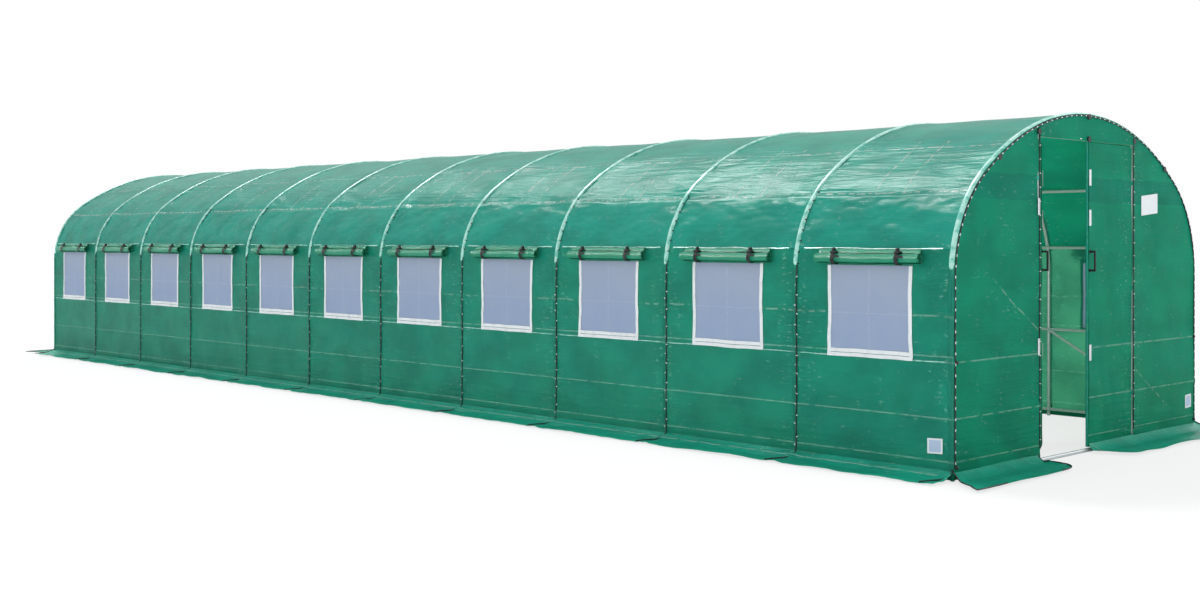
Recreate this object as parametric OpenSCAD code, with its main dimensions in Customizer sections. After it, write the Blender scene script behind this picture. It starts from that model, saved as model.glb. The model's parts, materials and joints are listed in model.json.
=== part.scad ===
// Walk-in polytunnel greenhouse: steel hoops and purlins under a green film cover, with a row of
// screened windows on each long side and a pair of hinged doors in the front end.
// Length runs along Y, the doors face -Y, and the ground is z = 0 under the middle of the tunnel.

/* [Tunnel] */
// Width over the outer faces of the hoops
tunnel_w = 3000; // [2500:50:3600]
// Height of the hoops' outer face at the ridge
tunnel_h = 2100; // [1950:50:2500]
// Spacing of the hoops, centre to centre
bay_l = 1100; // [900:50:1400]
// Height at which the straight legs turn into the shoulder bends
leg_h = 1100; // [1000:20:1140]
// Radius of the shoulder bends at the hoops' outer face
shoulder_r = 750; // [600:25:800]

/* [Frame tubes] */
// Diameter of the hoops and door posts
tube_d = 25; // [20:1:32]
// Diameter of the purlins and rails
purlin_d = 22; // [18:1:28]
// Diameter of the diagonal braces
brace_d = 20; // [16:1:25]
// Height of the eave purlins' line on the cover
eave_h = 1270; // [1200:10:1300]
// Height of the mid rails
mid_rail_h = 650; // [500:10:700]
// Height of the base rails
base_rail_h = 52; // [40:2:100]

/* [Cover] */
// Thickness of the film, standing in for a thin woven sheet
film_t = 3; // [2:0.5:5]
// Width of the ground skirt along the sides
side_skirt_w = 210; // [120:10:350]
// Width of the ground skirt at the ends
end_skirt_w = 290; // [150:10:400]
// Radius of the skirt's rounded corner beside the doorway
skirt_corner_r = 110; // [40:10:140]

/* [Windows] */
// Width over a window's sewn border
window_w = 600; // [400:10:700]
// Height over a window's sewn border
window_h = 520; // [350:10:530]
// Height of the lower edge of the windows
window_z = 650; // [600:10:660]
// Width of the sewn border
border_w = 22; // [15:1:40]
// Diameter of a rolled-up window cover
roll_d = 68; // [50:2:80]
// Length of a rolled-up window cover
roll_l = 740; // [500:10:840]
// Height of a rolled-up cover's centre
roll_h = 1215; // [1205:5:1240]
// Distance between a cover's two straps
strap_span = 450; // [250:10:480]
// Width of a strap
strap_w = 25; // [15:1:40]

/* [Doors] */
// Distance from the middle of the doorway to a post's centre
post_x = 600; // [450:10:750]
// Drop from a post's top to the header's centre
header_drop = 30; // [25:1:80]
// Diameter of the door leaves' tubes
leaf_d = 20; // [16:1:25]
// Angle that the left door stands ajar, inwards
left_ajar = 28; // [0:1:60]
// Length of a door handle
handle_l = 130; // [90:5:200]
// How far a door handle stands out
handle_out = 42; // [30:2:60]
// Height of a door handle's centre
handle_h = 1190; // [900:10:1300]

/* [Hidden] */
bays = 11;
gap = 0.3;            // between pieces that seat on each other
leaf_gap = 8;         // around a door leaf
meeting_gap = 6;      // between the two closed leaves
skirt_t = 4;
border_t = 1.5;
screen_t = 1.5;
strap_t = 2;
hinge_run = 0.5;      // running clearance of a hinge sleeve on its post
hinge_t = 4;
hinge_l = 30;
notch_l = hinge_l + 2 * leaf_gap;
hinge_heights = [330, 1010, 1690];
grip_d = 13;
foot_d = 26;
foot_t = 5;
clamp_d = 36;
clamp_t = 9;
clamp_run = 192;      // from the crown's ends to the extra clamps on the end arches
crown_tubes = 3;      // that the crown of a hoop is put together from
$fn = 96;
bend_fn = 240;        // for the arch's large radii

half_w = tunnel_w / 2;
tunnel_l = bays * bay_l;
tube_r = tube_d / 2;
purlin_r = purlin_d / 2;
brace_r = brace_d / 2;
leaf_r = leaf_d / 2;
rise = tunnel_h - leg_h;
arm = half_w - shoulder_r;
crown_r = (pow(arm, 2) + pow(rise, 2) - pow(shoulder_r, 2)) / (2 * (rise - shoulder_r));
crown_z = tunnel_h - crown_r;
crown_a = atan(arm / (crown_r - rise));
turn_a = 90 - crown_a;                             // where the shoulder bend meets the crown
joint_a = gap / crown_r * 180 / PI;                // the seating gap there, as an angle
tube_a = 2 * crown_a / crown_tubes;                // the arc of one of the crown's tubes
bend_top = leg_h + shoulder_r * sin(turn_a);
eave_on_bend = eave_h < bend_top;                  // or on the crown, in a steep tunnel
eave_a = eave_on_bend ? asin((eave_h - leg_h) / shoulder_r) : asin((eave_h - crown_z) / crown_r);
end_y = tunnel_l / 2 + tube_r + gap;               // inner face of the end films
film_out = gap + film_t;
ridge_z = tunnel_h - tube_d - gap - purlin_r;
post_top = crown_z + sqrt(pow(crown_r - tube_d, 2) - pow(post_x + tube_r, 2)) - gap;
header_z = post_top - header_drop;
leaf_z0 = tube_d + leaf_gap;
leaf_z1 = header_z - tube_r - leaf_gap;
leaf_x0 = tube_r + leaf_gap;                       // both measured from the hinge axis
leaf_x1 = post_x - meeting_gap / 2;
rail_x = half_w - tube_d - gap - purlin_r;
brace_x = rail_x - purlin_r - gap - brace_r;

// ---- shared shapes ----

// A tube of length l along Y, centred
module y_tube(d, l) {
    rotate([90, 0, 0])
        cylinder(d = d, h = l, center = true);
}

// A tube of length l along X, centred
module x_tube(d, l) {
    rotate([0, 90, 0])
        cylinder(d = d, h = l, center = true);
}

// A round bar bent about the Y axis, from angle a0 to a1 above +X
module bent_bar(r, d, a0, a1) {
    rotate([90, 0, 0])
        rotate([0, 0, a0])
            rotate_extrude(angle = a1 - a0, $fn = bend_fn)
                translate([r, 0])
                    circle(d = d, $fn = 96);
}

// A sheet of thickness t and length l bent about the Y axis, from angle a0 to a1 above +X
module bent_sheet(r, t, l, a0, a1) {
    rotate([90, 0, 0])
        rotate([0, 0, a0])
            rotate_extrude(angle = a1 - a0, $fn = bend_fn)
                translate([r, -l / 2])
                    square([t, l]);
}

// The left one and its mirror image on the right
module both_sides() {
    children();
    mirror([1, 0, 0])
        children();
}

// The front one and its mirror image at the rear
module both_ends() {
    children();
    mirror([0, 1, 0])
        children();
}

// A pie slice from angle a0 to a1, both less than a right angle apart from the middle one
module slice(r, a0, a1) {
    middle = (a0 + a1) / 2;
    far = 2 * r;
    intersection() {
        circle(r = r, $fn = bend_fn);
        polygon([[0, 0], far * [cos(a0), sin(a0)], far * [cos(middle), sin(middle)],
            far * [cos(a1), sin(a1)]]);
    }
}

// Everything inside the arch, out to off beyond the hoops' outer face
module arch_area(off) {
    translate([-half_w - off, skirt_t])
        square([2 * (half_w + off), leg_h - skirt_t]);
    translate([arm, leg_h])
        slice(shoulder_r + off, 0, turn_a);
    translate([-arm, leg_h])
        slice(shoulder_r + off, 180 - turn_a, 180);
    intersection() {
        translate([0, crown_z])
            slice(crown_r + off, turn_a, 180 - turn_a);
        translate([-half_w, leg_h])
            square([tunnel_w, tunnel_h]);
    }
}

// The left wall's sheet between two distances outside the hoops' outer face
module side_sheet(off0, off1) {
    l = 2 * end_y;
    mirror([1, 0, 0]) {
        translate([half_w + off0, -l / 2, skirt_t])
            cube([off1 - off0, l, leg_h - skirt_t]);
        translate([arm, 0, leg_h])
            bent_sheet(shoulder_r + off0, off1 - off0, l, 0, eave_on_bend ? eave_a : turn_a);
        if (!eave_on_bend)
            translate([0, 0, crown_z])
                bent_sheet(crown_r + off0, off1 - off0, l, turn_a, eave_a);
    }
}

// A block through every window of the left wall, smaller than the window by inset all round
module window_blocks(inset) {
    w = window_w - 2 * inset;
    h = window_h - 2 * inset;
    for (i = [0 : bays - 1])
        translate([-half_w - shoulder_r / 2, (i + 0.5) * bay_l - tunnel_l / 2 - w / 2,
                window_z + inset])
            cube([shoulder_r, w, h]);
}

// The left side's x at height h, off outside the hoops' outer face
function side_x(h, off) = h - leg_h < (shoulder_r + off) * sin(turn_a)
    ? -arm - sqrt(pow(shoulder_r + off, 2) - pow(h - leg_h, 2))
    : -sqrt(pow(crown_r + off, 2) - pow(h - crown_z, 2));

// Puts its children at each rolled-up cover of the left side
module at_each_roll() {
    off = film_out + strap_t + 2 * gap + roll_d / 2;
    for (i = [0 : bays - 1])
        translate([side_x(roll_h, off), (i + 0.5) * bay_l - tunnel_l / 2, roll_h])
            children();
}

// ---- frame ----

// Lengths of tube that meet end to end: two legs, two shoulder bends and the crown's tubes
module hoop(number) {
    color("gainsboro")
        translate([0, (number - 1) * bay_l - tunnel_l / 2, 0])
            union() {
                both_sides() {
                    translate([-half_w + tube_r, 0, 0])
                        cylinder(d = tube_d, h = leg_h - gap);
                    translate([-arm, 0, leg_h])
                        bent_bar(shoulder_r - tube_r, tube_d, 180 - turn_a, 180);
                }
                translate([0, 0, crown_z])
                    for (i = [1 : crown_tubes])
                        bent_bar(crown_r - tube_r, tube_d,
                            turn_a + (i - 1) * tube_a + joint_a,
                            turn_a + i * tube_a - (i == crown_tubes ? joint_a : 0));
            }
}

module ridge_purlin() {
    color("gainsboro")
        translate([0, 0, ridge_z])
            y_tube(purlin_d, tunnel_l + tube_d);
}

// A purlin each side, just inside an arc of radius r about centre, at angle a above the level
module side_purlins(centre, r, a) {
    inside = r - tube_d - gap - purlin_r;
    color("gainsboro")
        both_sides()
            translate([centre.x - inside * cos(a), 0, centre.y + inside * sin(a)])
                y_tube(purlin_d, tunnel_l + tube_d);
}

module roof_purlins() {
    side_purlins([-arm, leg_h], shoulder_r, turn_a);
}

module eave_purlins() {
    side_purlins(eave_on_bend ? [-arm, leg_h] : [0, crown_z],
        eave_on_bend ? shoulder_r : crown_r, eave_a);
}

module mid_rails() {
    color("gainsboro")
        both_sides()
            translate([-rail_x, 0, mid_rail_h])
                y_tube(purlin_d, tunnel_l + tube_d);
}

module base_rails() {
    color("gainsboro")
        both_sides()
            translate([-rail_x, 0, base_rail_h])
                y_tube(purlin_d, tunnel_l - purlin_d - 2 * gap);
}

// Short rails from the corner legs to the door posts
module end_base_rails() {
    x0 = post_x + tube_r + gap;
    x1 = half_w - tube_d - gap;
    color("gainsboro")
        both_ends()
            both_sides()
                translate([-(x0 + x1) / 2, -tunnel_l / 2, base_rail_h])
                    x_tube(purlin_d, x1 - x0);
}

module door_sills() {
    color("gainsboro")
        both_ends()
            translate([0, -tunnel_l / 2, tube_r])
                x_tube(tube_d, 2 * (post_x - tube_r - gap));
}

// A diagonal in each corner bay, from the first hoop's foot up to the second hoop's mid rail
module corner_braces() {
    up = mid_rail_h - base_rail_h;
    along = bay_l - purlin_d - brace_d;
    color("gainsboro")
        both_ends()
            both_sides()
                translate([-brace_x, (bay_l - tunnel_l) / 2, (mid_rail_h + base_rail_h) / 2])
                    rotate([atan(up / along), 0, 0])
                        y_tube(brace_d, norm([up, along]));
}

// Two posts, the header between them and the short strut up to the ridge purlin
module door_frame() {
    translate([0, -tunnel_l / 2, 0]) {
        both_sides()
            translate([-post_x, 0, 0])
                cylinder(d = tube_d, h = post_top);
        translate([0, 0, header_z])
            x_tube(tube_d, 2 * post_x);
        translate([0, 0, header_z])
            cylinder(d = tube_d, h = ridge_z - purlin_r - gap - header_z);
    }
}

module front_door_frame() {
    color("gainsboro")
        door_frame();
}

module rear_door_frame() {
    color("gainsboro")
        mirror([0, 1, 0])
            door_frame();
}

// Round black clamps on the end films, over the joints of the arch, posts and header
module frame_clamps() {
    arch_a = turn_a + clamp_run / crown_r * 180 / PI;
    clamp_x = (crown_r - tube_r) * cos(arch_a);
    arch_z = crown_z + (crown_r - tube_r) * sin(arch_a);
    places = [[-clamp_x, arch_z], [-post_x, post_top - tube_r], [0, tunnel_h - tube_r],
        [0, header_z], [post_x, post_top - tube_r], [clamp_x, arch_z]];
    color("#202020")
        both_ends()
            for (p = places)
                translate([p.x, -end_y - film_t, p.y])
                    rotate([90, 0, 0])
                        cylinder(d = clamp_d, h = clamp_t);
}

// ---- cover ----

module roof_cover() {
    l = 2 * end_y;
    color("#45ab98")
        union() {
            start = max(turn_a, eave_on_bend ? 0 : eave_a);
            translate([0, 0, crown_z])
                bent_sheet(crown_r + gap, film_t, l, start, 180 - start);
            if (eave_on_bend)
                both_sides()
                    translate([-arm, 0, leg_h])
                        bent_sheet(shoulder_r + gap, film_t, l, 180 - turn_a, 180 - eave_a);
        }
}

module side_wall() {
    color("#138069")
        difference() {
            side_sheet(gap, film_out);
            window_blocks(border_w);
        }
}

module left_wall() {
    side_wall();
}

module right_wall() {
    mirror([1, 0, 0])
        side_wall();
}

// Lays a drawing of the front film, seen from outside, on the front end
module on_front() {
    translate([0, -end_y, 0])
        rotate([90, 0, 0])
            linear_extrude(height = film_t)
                children();
}

// The film from the left corner to the left post, notched round the hinges
module end_panel() {
    color("#18866f")
        on_front()
            difference() {
                intersection() {
                    arch_area(film_out);
                    translate([-half_w - film_out, 0])
                        square([half_w + film_out - post_x + tube_r, tunnel_h]);
                }
                for (z = hinge_heights)
                    translate([-post_x - tube_d, z - notch_l / 2])
                        square([2 * tube_d, notch_l]);
            }
}

module end_gable() {
    color("#18866f")
        on_front()
            intersection() {
                arch_area(film_out);
                translate([-post_x + tube_r, header_z - tube_r])
                    square([2 * (post_x - tube_r), tunnel_h]);
            }
}

module front_left_panel() {
    end_panel();
}

module front_right_panel() {
    mirror([1, 0, 0])
        end_panel();
}

module front_gable() {
    end_gable();
}

module rear_left_panel() {
    mirror([0, 1, 0])
        end_panel();
}

module rear_right_panel() {
    mirror([1, 1, 0])
        mirror([1, -1, 0])
            end_panel();
}

module rear_gable() {
    mirror([0, 1, 0])
        end_gable();
}

module side_skirt() {
    color("#22a188")
        translate([-half_w - film_out - side_skirt_w, -end_y, 0])
            cube([film_t + side_skirt_w, 2 * end_y, skirt_t]);
}

module left_skirt() {
    side_skirt();
}

module right_skirt() {
    mirror([1, 0, 0])
        side_skirt();
}

// Skirt in front of the front film, from a flared left corner to a rounded end at x
module end_skirt_area(x) {
    r = skirt_corner_r;
    y0 = -end_y;
    y1 = y0 - film_t - end_skirt_w;
    difference() {
        polygon([[-half_w - film_out, y0], [-half_w - film_out - side_skirt_w, y1], [x, y1], [x, y0]]);
        translate([x - r, y1 - r])
            square(2 * r);
    }
    translate([x - r, y1 + r])
        circle(r = r);
    translate([x - r, y1 + r])
        square([r, end_skirt_w - r]);
}

module front_left_skirt() {
    color("#138a72")
        linear_extrude(height = skirt_t)
            end_skirt_area(-post_x - tube_r);
}

module front_right_skirt() {
    color("#138a72")
        mirror([1, 0, 0])
            linear_extrude(height = skirt_t)
                end_skirt_area(-meeting_gap / 2);
}

module rear_skirt() {
    outer = half_w + film_out + side_skirt_w;
    inner = half_w + film_out;
    y1 = end_y + film_t + end_skirt_w;
    color("#138a72")
        linear_extrude(height = skirt_t)
            polygon([[-inner, end_y], [inner, end_y], [outer, y1], [-outer, y1]]);
}

// ---- windows ----

module window_screens() {
    off = gap + (film_t - screen_t) / 2;
    color("#9ab1ce")
        both_sides()
            intersection() {
                side_sheet(off, off + screen_t);
                window_blocks(border_w + gap);
            }
}

module window_borders() {
    color("white")
        both_sides()
            difference() {
                intersection() {
                    side_sheet(film_out + gap, film_out + gap + border_t);
                    window_blocks(0);
                }
                window_blocks(border_w);
            }
}

module window_rolls() {
    color("#2fb39a")
        both_sides()
            at_each_roll()
                y_tube(roll_d, roll_l);
}

module roll_straps() {
    color("#1c1c1c")
        both_sides()
            at_each_roll()
                for (side = [-1, 1])
                    translate([0, side * strap_span / 2, 0])
                        difference() {
                            y_tube(roll_d + 2 * (gap + strap_t), strap_w);
                            y_tube(roll_d + 2 * gap, 2 * strap_w);
                        }
}

// ---- doors: each leaf is drawn as the left one, with its hinge axis at the origin ----

module leaf_frame() {
    leaf_h = leaf_z1 - leaf_z0;
    for (x = [leaf_x0 + leaf_r, leaf_x1 - leaf_r])
        translate([x, 0, leaf_z0])
            cylinder(d = leaf_d, h = leaf_h);
    for (z = [leaf_z0 + leaf_r, leaf_z1 - leaf_r])
        translate([(leaf_x0 + leaf_x1) / 2, 0, z])
            x_tube(leaf_d, leaf_x1 - leaf_x0 - leaf_d);
    for (z = hinge_heights)
        translate([0, 0, z - hinge_l / 2])
            hinge_sleeve();
}

// A sleeve that turns on the post, with a tab to the leaf
module hinge_sleeve() {
    difference() {
        union() {
            cylinder(r = tube_r + hinge_run + hinge_t, h = hinge_l);
            translate([0, -hinge_t, 0])
                cube([leaf_x0 + leaf_r, 2 * hinge_t, hinge_l]);
        }
        translate([0, 0, -hinge_l])
            cylinder(r = tube_r + hinge_run, h = 3 * hinge_l);
    }
}

module leaf_film() {
    translate([leaf_x0, -leaf_r - film_out, leaf_z0])
        cube([leaf_x1 - leaf_x0, film_t, leaf_z1 - leaf_z0]);
}

module leaf_handle() {
    face = -leaf_r - film_out;
    translate([leaf_x1 - leaf_r - grip_d / 2, face, handle_h]) {
        translate([0, grip_d / 2 - handle_out, -handle_l / 2])
            cylinder(d = grip_d, h = handle_l);
        for (side = [-1, 1])
            translate([0, 0, side * (handle_l - grip_d) / 2])
                rotate([90, 0, 0]) {
                    cylinder(d = grip_d, h = handle_out - grip_d / 2);
                    cylinder(d = foot_d, h = foot_t);
                }
    }
}

// Hangs a leaf on the front's left post, ajar by an angle
module hang_left(ajar) {
    translate([-post_x, -tunnel_l / 2, 0])
        rotate([0, 0, ajar])
            children();
}

module left_door_frame() {
    color("gainsboro")
        hang_left(left_ajar)
            leaf_frame();
}

module left_door_film() {
    color("#18866f")
        hang_left(left_ajar)
            leaf_film();
}

module left_door_handle() {
    color("#1c1c1c")
        hang_left(left_ajar)
            leaf_handle();
}

module right_door_frame() {
    color("gainsboro")
        mirror([1, 0, 0])
            hang_left(0)
                leaf_frame();
}

module right_door_film() {
    color("#18866f")
        mirror([1, 0, 0])
            hang_left(0)
                leaf_film();
}

module right_door_handle() {
    color("#1c1c1c")
        mirror([1, 0, 0])
            hang_left(0)
                leaf_handle();
}

module rear_door_frames() {
    color("gainsboro")
        mirror([0, 1, 0])
            both_sides()
                hang_left(0)
                    leaf_frame();
}

module rear_door_films() {
    color("#18866f")
        mirror([0, 1, 0])
            both_sides()
                hang_left(0)
                    leaf_film();
}

hoop(1);  // hoop_01
hoop(2);  // hoop_02
hoop(3);  // hoop_03
hoop(4);  // hoop_04
hoop(5);  // hoop_05
hoop(6);  // hoop_06
hoop(7);  // hoop_07
hoop(8);  // hoop_08
hoop(9);  // hoop_09
hoop(10);  // hoop_10
hoop(11);  // hoop_11
hoop(12);  // hoop_12
ridge_purlin();
roof_purlins();
eave_purlins();
mid_rails();
base_rails();
end_base_rails();
door_sills();
corner_braces();
front_door_frame();
rear_door_frame();
frame_clamps();
roof_cover();
left_wall();
right_wall();
front_left_panel();
front_right_panel();
front_gable();
rear_left_panel();
rear_right_panel();
rear_gable();
left_skirt();
right_skirt();
front_left_skirt();
front_right_skirt();
rear_skirt();
window_screens();
window_borders();
window_rolls();
roll_straps();
left_door_frame();
left_door_film();
left_door_handle();
right_door_frame();
right_door_film();
right_door_handle();
rear_door_frames();
rear_door_films();
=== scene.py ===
"""The looks of a walk-in polytunnel greenhouse, laid out as a Blender add-on.

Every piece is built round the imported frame: film sheets are laid over the hoops, and the windows,
rolls, straps, lacing and skirts are placed from the frame's own boxes. All lengths are metres.
"""

import json
import math
from functools import partial, reduce

import bmesh
import bpy
import numpy as np
from bpy.props import FloatProperty, FloatVectorProperty, IntProperty, PointerProperty
from mathutils import Matrix, Vector


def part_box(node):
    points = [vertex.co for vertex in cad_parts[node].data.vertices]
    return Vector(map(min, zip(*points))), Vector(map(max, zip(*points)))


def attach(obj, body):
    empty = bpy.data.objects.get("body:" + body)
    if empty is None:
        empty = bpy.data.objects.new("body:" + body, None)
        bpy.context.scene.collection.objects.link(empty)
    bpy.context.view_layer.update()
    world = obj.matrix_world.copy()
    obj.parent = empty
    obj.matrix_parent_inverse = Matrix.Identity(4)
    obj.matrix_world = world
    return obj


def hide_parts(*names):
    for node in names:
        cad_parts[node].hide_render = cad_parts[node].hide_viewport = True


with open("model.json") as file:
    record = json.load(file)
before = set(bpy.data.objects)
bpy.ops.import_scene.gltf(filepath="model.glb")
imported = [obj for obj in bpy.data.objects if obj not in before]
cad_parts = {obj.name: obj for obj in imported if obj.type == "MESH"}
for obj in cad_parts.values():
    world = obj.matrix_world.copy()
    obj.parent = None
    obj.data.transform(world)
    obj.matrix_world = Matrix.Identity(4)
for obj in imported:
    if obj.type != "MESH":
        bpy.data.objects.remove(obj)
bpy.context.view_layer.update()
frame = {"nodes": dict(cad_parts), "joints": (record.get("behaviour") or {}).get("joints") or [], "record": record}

bl_info = {
    "name": "Polytunnel Greenhouse",
    "version": (1, 0, 0),
    "blender": (4, 5, 0),
    "location": "View3D > Sidebar > Polytunnel",
    "description": "Dresses a polytunnel's steel frame in film, windows, lacing and skirts",
    "category": "Object",
}

BAYS = 11
SIDES = ((1, "left"), (-1, "right"))   # a side is drawn on the left, and mirrored for the right
TUNNEL = "tunnel"                # the body that stands still
FILM_T = 0.0012                  # thickness given to the film sheets
SKIRT_T = 0.0015                 # to the skirts
SCREEN_T = 0.0008                # to the windows' mesh
TAPE_T = 0.0016                  # to the windows' borders
FILM_STEP = 0.03                 # spacing of the film's mesh
FLAP_ANGLE = math.radians(68)    # where on its roll a header flap ends, above the level
SKIRT_CORNER = 0.13              # radius of a skirt's corner beside the doorway
END_SHADE_BAND = (1.55, 1.7)        # heights of a band of painted shade in the light that the end film lets through
TIES_END = 1.62                  # height at which the ties beside the sleeves stop
TAIL_POINTS = 7                  # points of a leg's cord that lie below the last clip
HOOP_LOW, HOOP_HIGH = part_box("hoop_01")
HALF_W = HOOP_HIGH.x             # to the hoops' outer face
RIDGE_Z = HOOP_HIGH.z
FRONT_Y = (HOOP_LOW.y + HOOP_HIGH.y) / 2
REAR_Y = -FRONT_Y
BAY = (REAR_Y - FRONT_Y) / BAYS
HOOPS_Y = [FRONT_Y + n * BAY for n in range(BAYS + 1)]
MIDDLES_Y = [FRONT_Y + (n + 0.5) * BAY for n in range(BAYS)]
FILM_OUT = -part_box("left_wall")[0].x - HALF_W           # the film's outer face, from the hoops
FILM_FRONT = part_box("front_left_panel")[0].y            # the front film's outer face
POST_X = -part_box("front_left_panel")[1].x               # where the front panels stop
GABLE_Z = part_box("front_gable")[0].z
EAVE_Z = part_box("left_wall")[1].z
SCREEN_LOW, SCREEN_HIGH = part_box("window_screens")
BORDER_LOW, BORDER_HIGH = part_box("window_borders")
SKIRT_X = -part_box("left_skirt")[0].x                    # the skirts' outer edges
SKIRT_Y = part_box("front_left_skirt")[0].y
JOINTS = {joint["name"]: joint for joint in frame["joints"]}
AJAR = -math.radians(JOINTS["left_door_hinge"]["range_deg"][0])

# Each piece's noise starts from its own number, so that a change to one piece leaves the others alone.
SEEDS = {"wall": 20, "panel": 40, "gable": 50, "leaf": 60, "rear_leaf": 66, "skirt": 70,
         "end_skirt": 80, "window": 100, "cover": 200, "flap": 300, "sleeve": 400, "rib": 440, "welt": 460,
         "clip": 480, "post": 500, "tie": 520}


# ---------------------------------------------------------------- sizes and colours

def hexes(code):
    """An sRGB hex colour as linear red, green, blue and alpha."""
    parts = [int(code[i:i + 2], 16) / 255 for i in (1, 3, 5)]
    return tuple(p / 12.92 if p <= 0.04045 else ((p + 0.055) / 1.055) ** 2.4 for p in parts) + (1.0,)


def length_prop(name, description, default):
    """A length that a user may change."""
    return FloatProperty(name=name, description=description, default=default, min=0.0,
                         subtype="DISTANCE", unit="LENGTH")


def colour_prop(name, description, code):
    """A colour that a user may change, from its sRGB hex code."""
    return FloatVectorProperty(name=name, description=description, default=hexes(code), size=4,
                               min=0.0, max=1.0, subtype="COLOR")


class TunnelSizes(bpy.types.PropertyGroup):
    """Sizes of the cover and its trimmings"""
    leg: length_prop("Leg height", "Height at which the hoops start to bend", 1.1)
    bend: length_prop("Shoulder radius", "Radius of the hoops' shoulder bends", 0.75)
    sag: length_prop("Film sag", "How far the film sinks between two hoops", 0.007)
    wrinkle: length_prop("Wrinkles", "Height of the tension wrinkles beside the hoops", 0.012)
    seam_low: length_prop("Lower seam", "Height of the lower welded seam", 0.34)
    seam_mid: length_prop("Middle seam", "Height of the seam below the windows", 0.65)
    pocket: length_prop("Base pocket", "Height of the sewn pocket round the base rail", 0.052)
    sleeve: length_prop("Hoop sleeve", "Width of the film sleeve over a hoop", 0.036)
    sleeve_end: length_prop("Sleeve end", "Height at which the hoop sleeves stop", 1.15)
    cord: length_prop("Lacing cord", "Diameter of the cord that laces the film to a hoop", 0.0085)
    clip_gap: length_prop("Clip spacing", "Distance between two lacing clips", 0.06)
    fold_low: length_prop("Lower roof fold", "Height of the roof's lower packing fold", 1.6)
    fold_high: length_prop("Upper roof fold", "Height of the roof's upper packing fold", 1.88)
    fold_wall: length_prop("Wall fold", "Height of the wall's packing fold", 0.9)
    fold_pair: length_prop("Fold pair", "Distance of the paired folds from the middle of a bay", 0.1)
    turns: FloatProperty(name="Roll turns", description="Turns in a rolled cover", default=3.4, min=1.0)
    seed: IntProperty(name="Seed", description="Starting number of the wrinkles", default=7)


class TunnelColours(bpy.types.PropertyGroup):
    """Colours of the cover and its trimmings"""
    # Painted light: the roof is the same film as the walls, drawn lighter for the stronger light that falls on it
    # from above.
    roof: colour_prop("Roof film", "Film of the roof and the rolled covers", "#1fc4ae")
    wall: colour_prop("Wall film", "Film of the long walls", "#06a58f")
    end: colour_prop("End film", "Film of the two ends and the doors", "#04ab8b")
    cover: colour_prop("Cover film", "Film of the rolled window covers", "#12a67c")
    skirt: colour_prop("Skirt film", "Film of the ground skirts", "#12ba9c")
    glow: colour_prop("Wall glow", "Tint of the light that the long walls let through", "#a8eacb")
    roof_glow: colour_prop("Roof glow", "Tint of the light that the roof lets through", "#34b48e")
    end_glow: colour_prop("End glow", "Tint of the light that the ends let through", "#45d8a0")
    # Partly painted highlight: this pale colour marks the weave, and on the scuffs and welds it also stands in for
    # glints and highlights.
    fold: colour_prop("Folds", "Whitened film along folds and welds", "#9fdccc")
    # Painted highlight: the sleeves' pale colour stands in for the light caught along the film's bulge over each
    # hoop.
    sleeve: colour_prop("Sleeve", "Film stretched over the hoops", "#b4e6d8")
    screen: colour_prop("Screen", "Insect mesh of the windows", "#abbde0")
    webbing: colour_prop("Webbing", "White sewn borders and closures", "#eef1f2")
    strap: colour_prop("Strap", "Black straps and lacing", "#15181a")
    steel: colour_prop("Steel", "Galvanised tube", "#e4e7e8")
    plastic: colour_prop("Plastic", "Black moulded plastic", "#17191b")
    label: colour_prop("Label", "Bare patches near the corners", "#b9cae4")


# ---------------------------------------------------------------- small tools

def deselect():
    """Leaves nothing selected, so that an operator acts on the new piece alone."""
    bpy.ops.object.select_all(action="DESELECT")


def only(piece):
    """Selects this piece alone and makes it the active one."""
    deselect()
    piece.select_set(True)
    bpy.context.view_layer.objects.active = piece


def apply_modifier(piece, kind, **settings):
    """Adds a modifier with its settings and applies it."""
    only(piece)
    modifier = piece.modifiers.new(kind.title(), kind)
    for key, value in settings.items():
        setattr(modifier, key, value)
    bpy.ops.object.modifier_apply(modifier=modifier.name)


def smooth(piece, angle=40):
    """Shades the piece smooth, with edges sharper than the angle left sharp."""
    only(piece)
    bpy.ops.object.shade_smooth_by_angle(angle=math.radians(angle))


def points_of(piece):
    """The piece's vertices as an array."""
    flat = np.empty(3 * len(piece.data.vertices))
    piece.data.vertices.foreach_get("co", flat)
    return flat.reshape(-1, 3)


def put_points(piece, points):
    """Moves the piece's vertices to an array of places."""
    piece.data.vertices.foreach_set("co", np.asarray(points, float).ravel())
    piece.data.update()


def turn(points, centre, angle):
    """Turns points about an upright axis through centre."""
    away = points[:, :2] - np.array(centre[:2])
    c, s = math.cos(angle), math.sin(angle)
    out = points.copy()
    out[:, 0] = centre[0] + c * away[:, 0] - s * away[:, 1]
    out[:, 1] = centre[1] + s * away[:, 0] + c * away[:, 1]
    return out


def seed_of(sizes, name):
    """The number that a piece's noise starts from."""
    return sizes.seed + SEEDS[name]


def table(seed):
    """A square of random numbers from -1 to 1 that noise is read from."""
    return np.random.default_rng(seed).uniform(-1, 1, (64, 64))


def noise(x, y, seed):
    """Smooth noise over a plane, from about -1 to 1, with features one unit across."""
    x, y = np.broadcast_arrays(np.asarray(x, float), np.asarray(y, float))
    xi, yi = np.floor(x).astype(int), np.floor(y).astype(int)
    fx, fy = x - xi, y - yi
    fx, fy = fx * fx * (3 - 2 * fx), fy * fy * (3 - 2 * fy)
    t = table(seed)
    a, b = t[xi % 64, yi % 64], t[(xi + 1) % 64, yi % 64]
    c, d = t[xi % 64, (yi + 1) % 64], t[(xi + 1) % 64, (yi + 1) % 64]
    return (a * (1 - fx) + b * fx) * (1 - fy) + (c * (1 - fx) + d * fx) * fy


def ridges(x, y, seed):
    """Noise folded into narrow crests, from 0 to 1."""
    return (1 - np.abs(noise(x, y, seed))) ** 3


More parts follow.
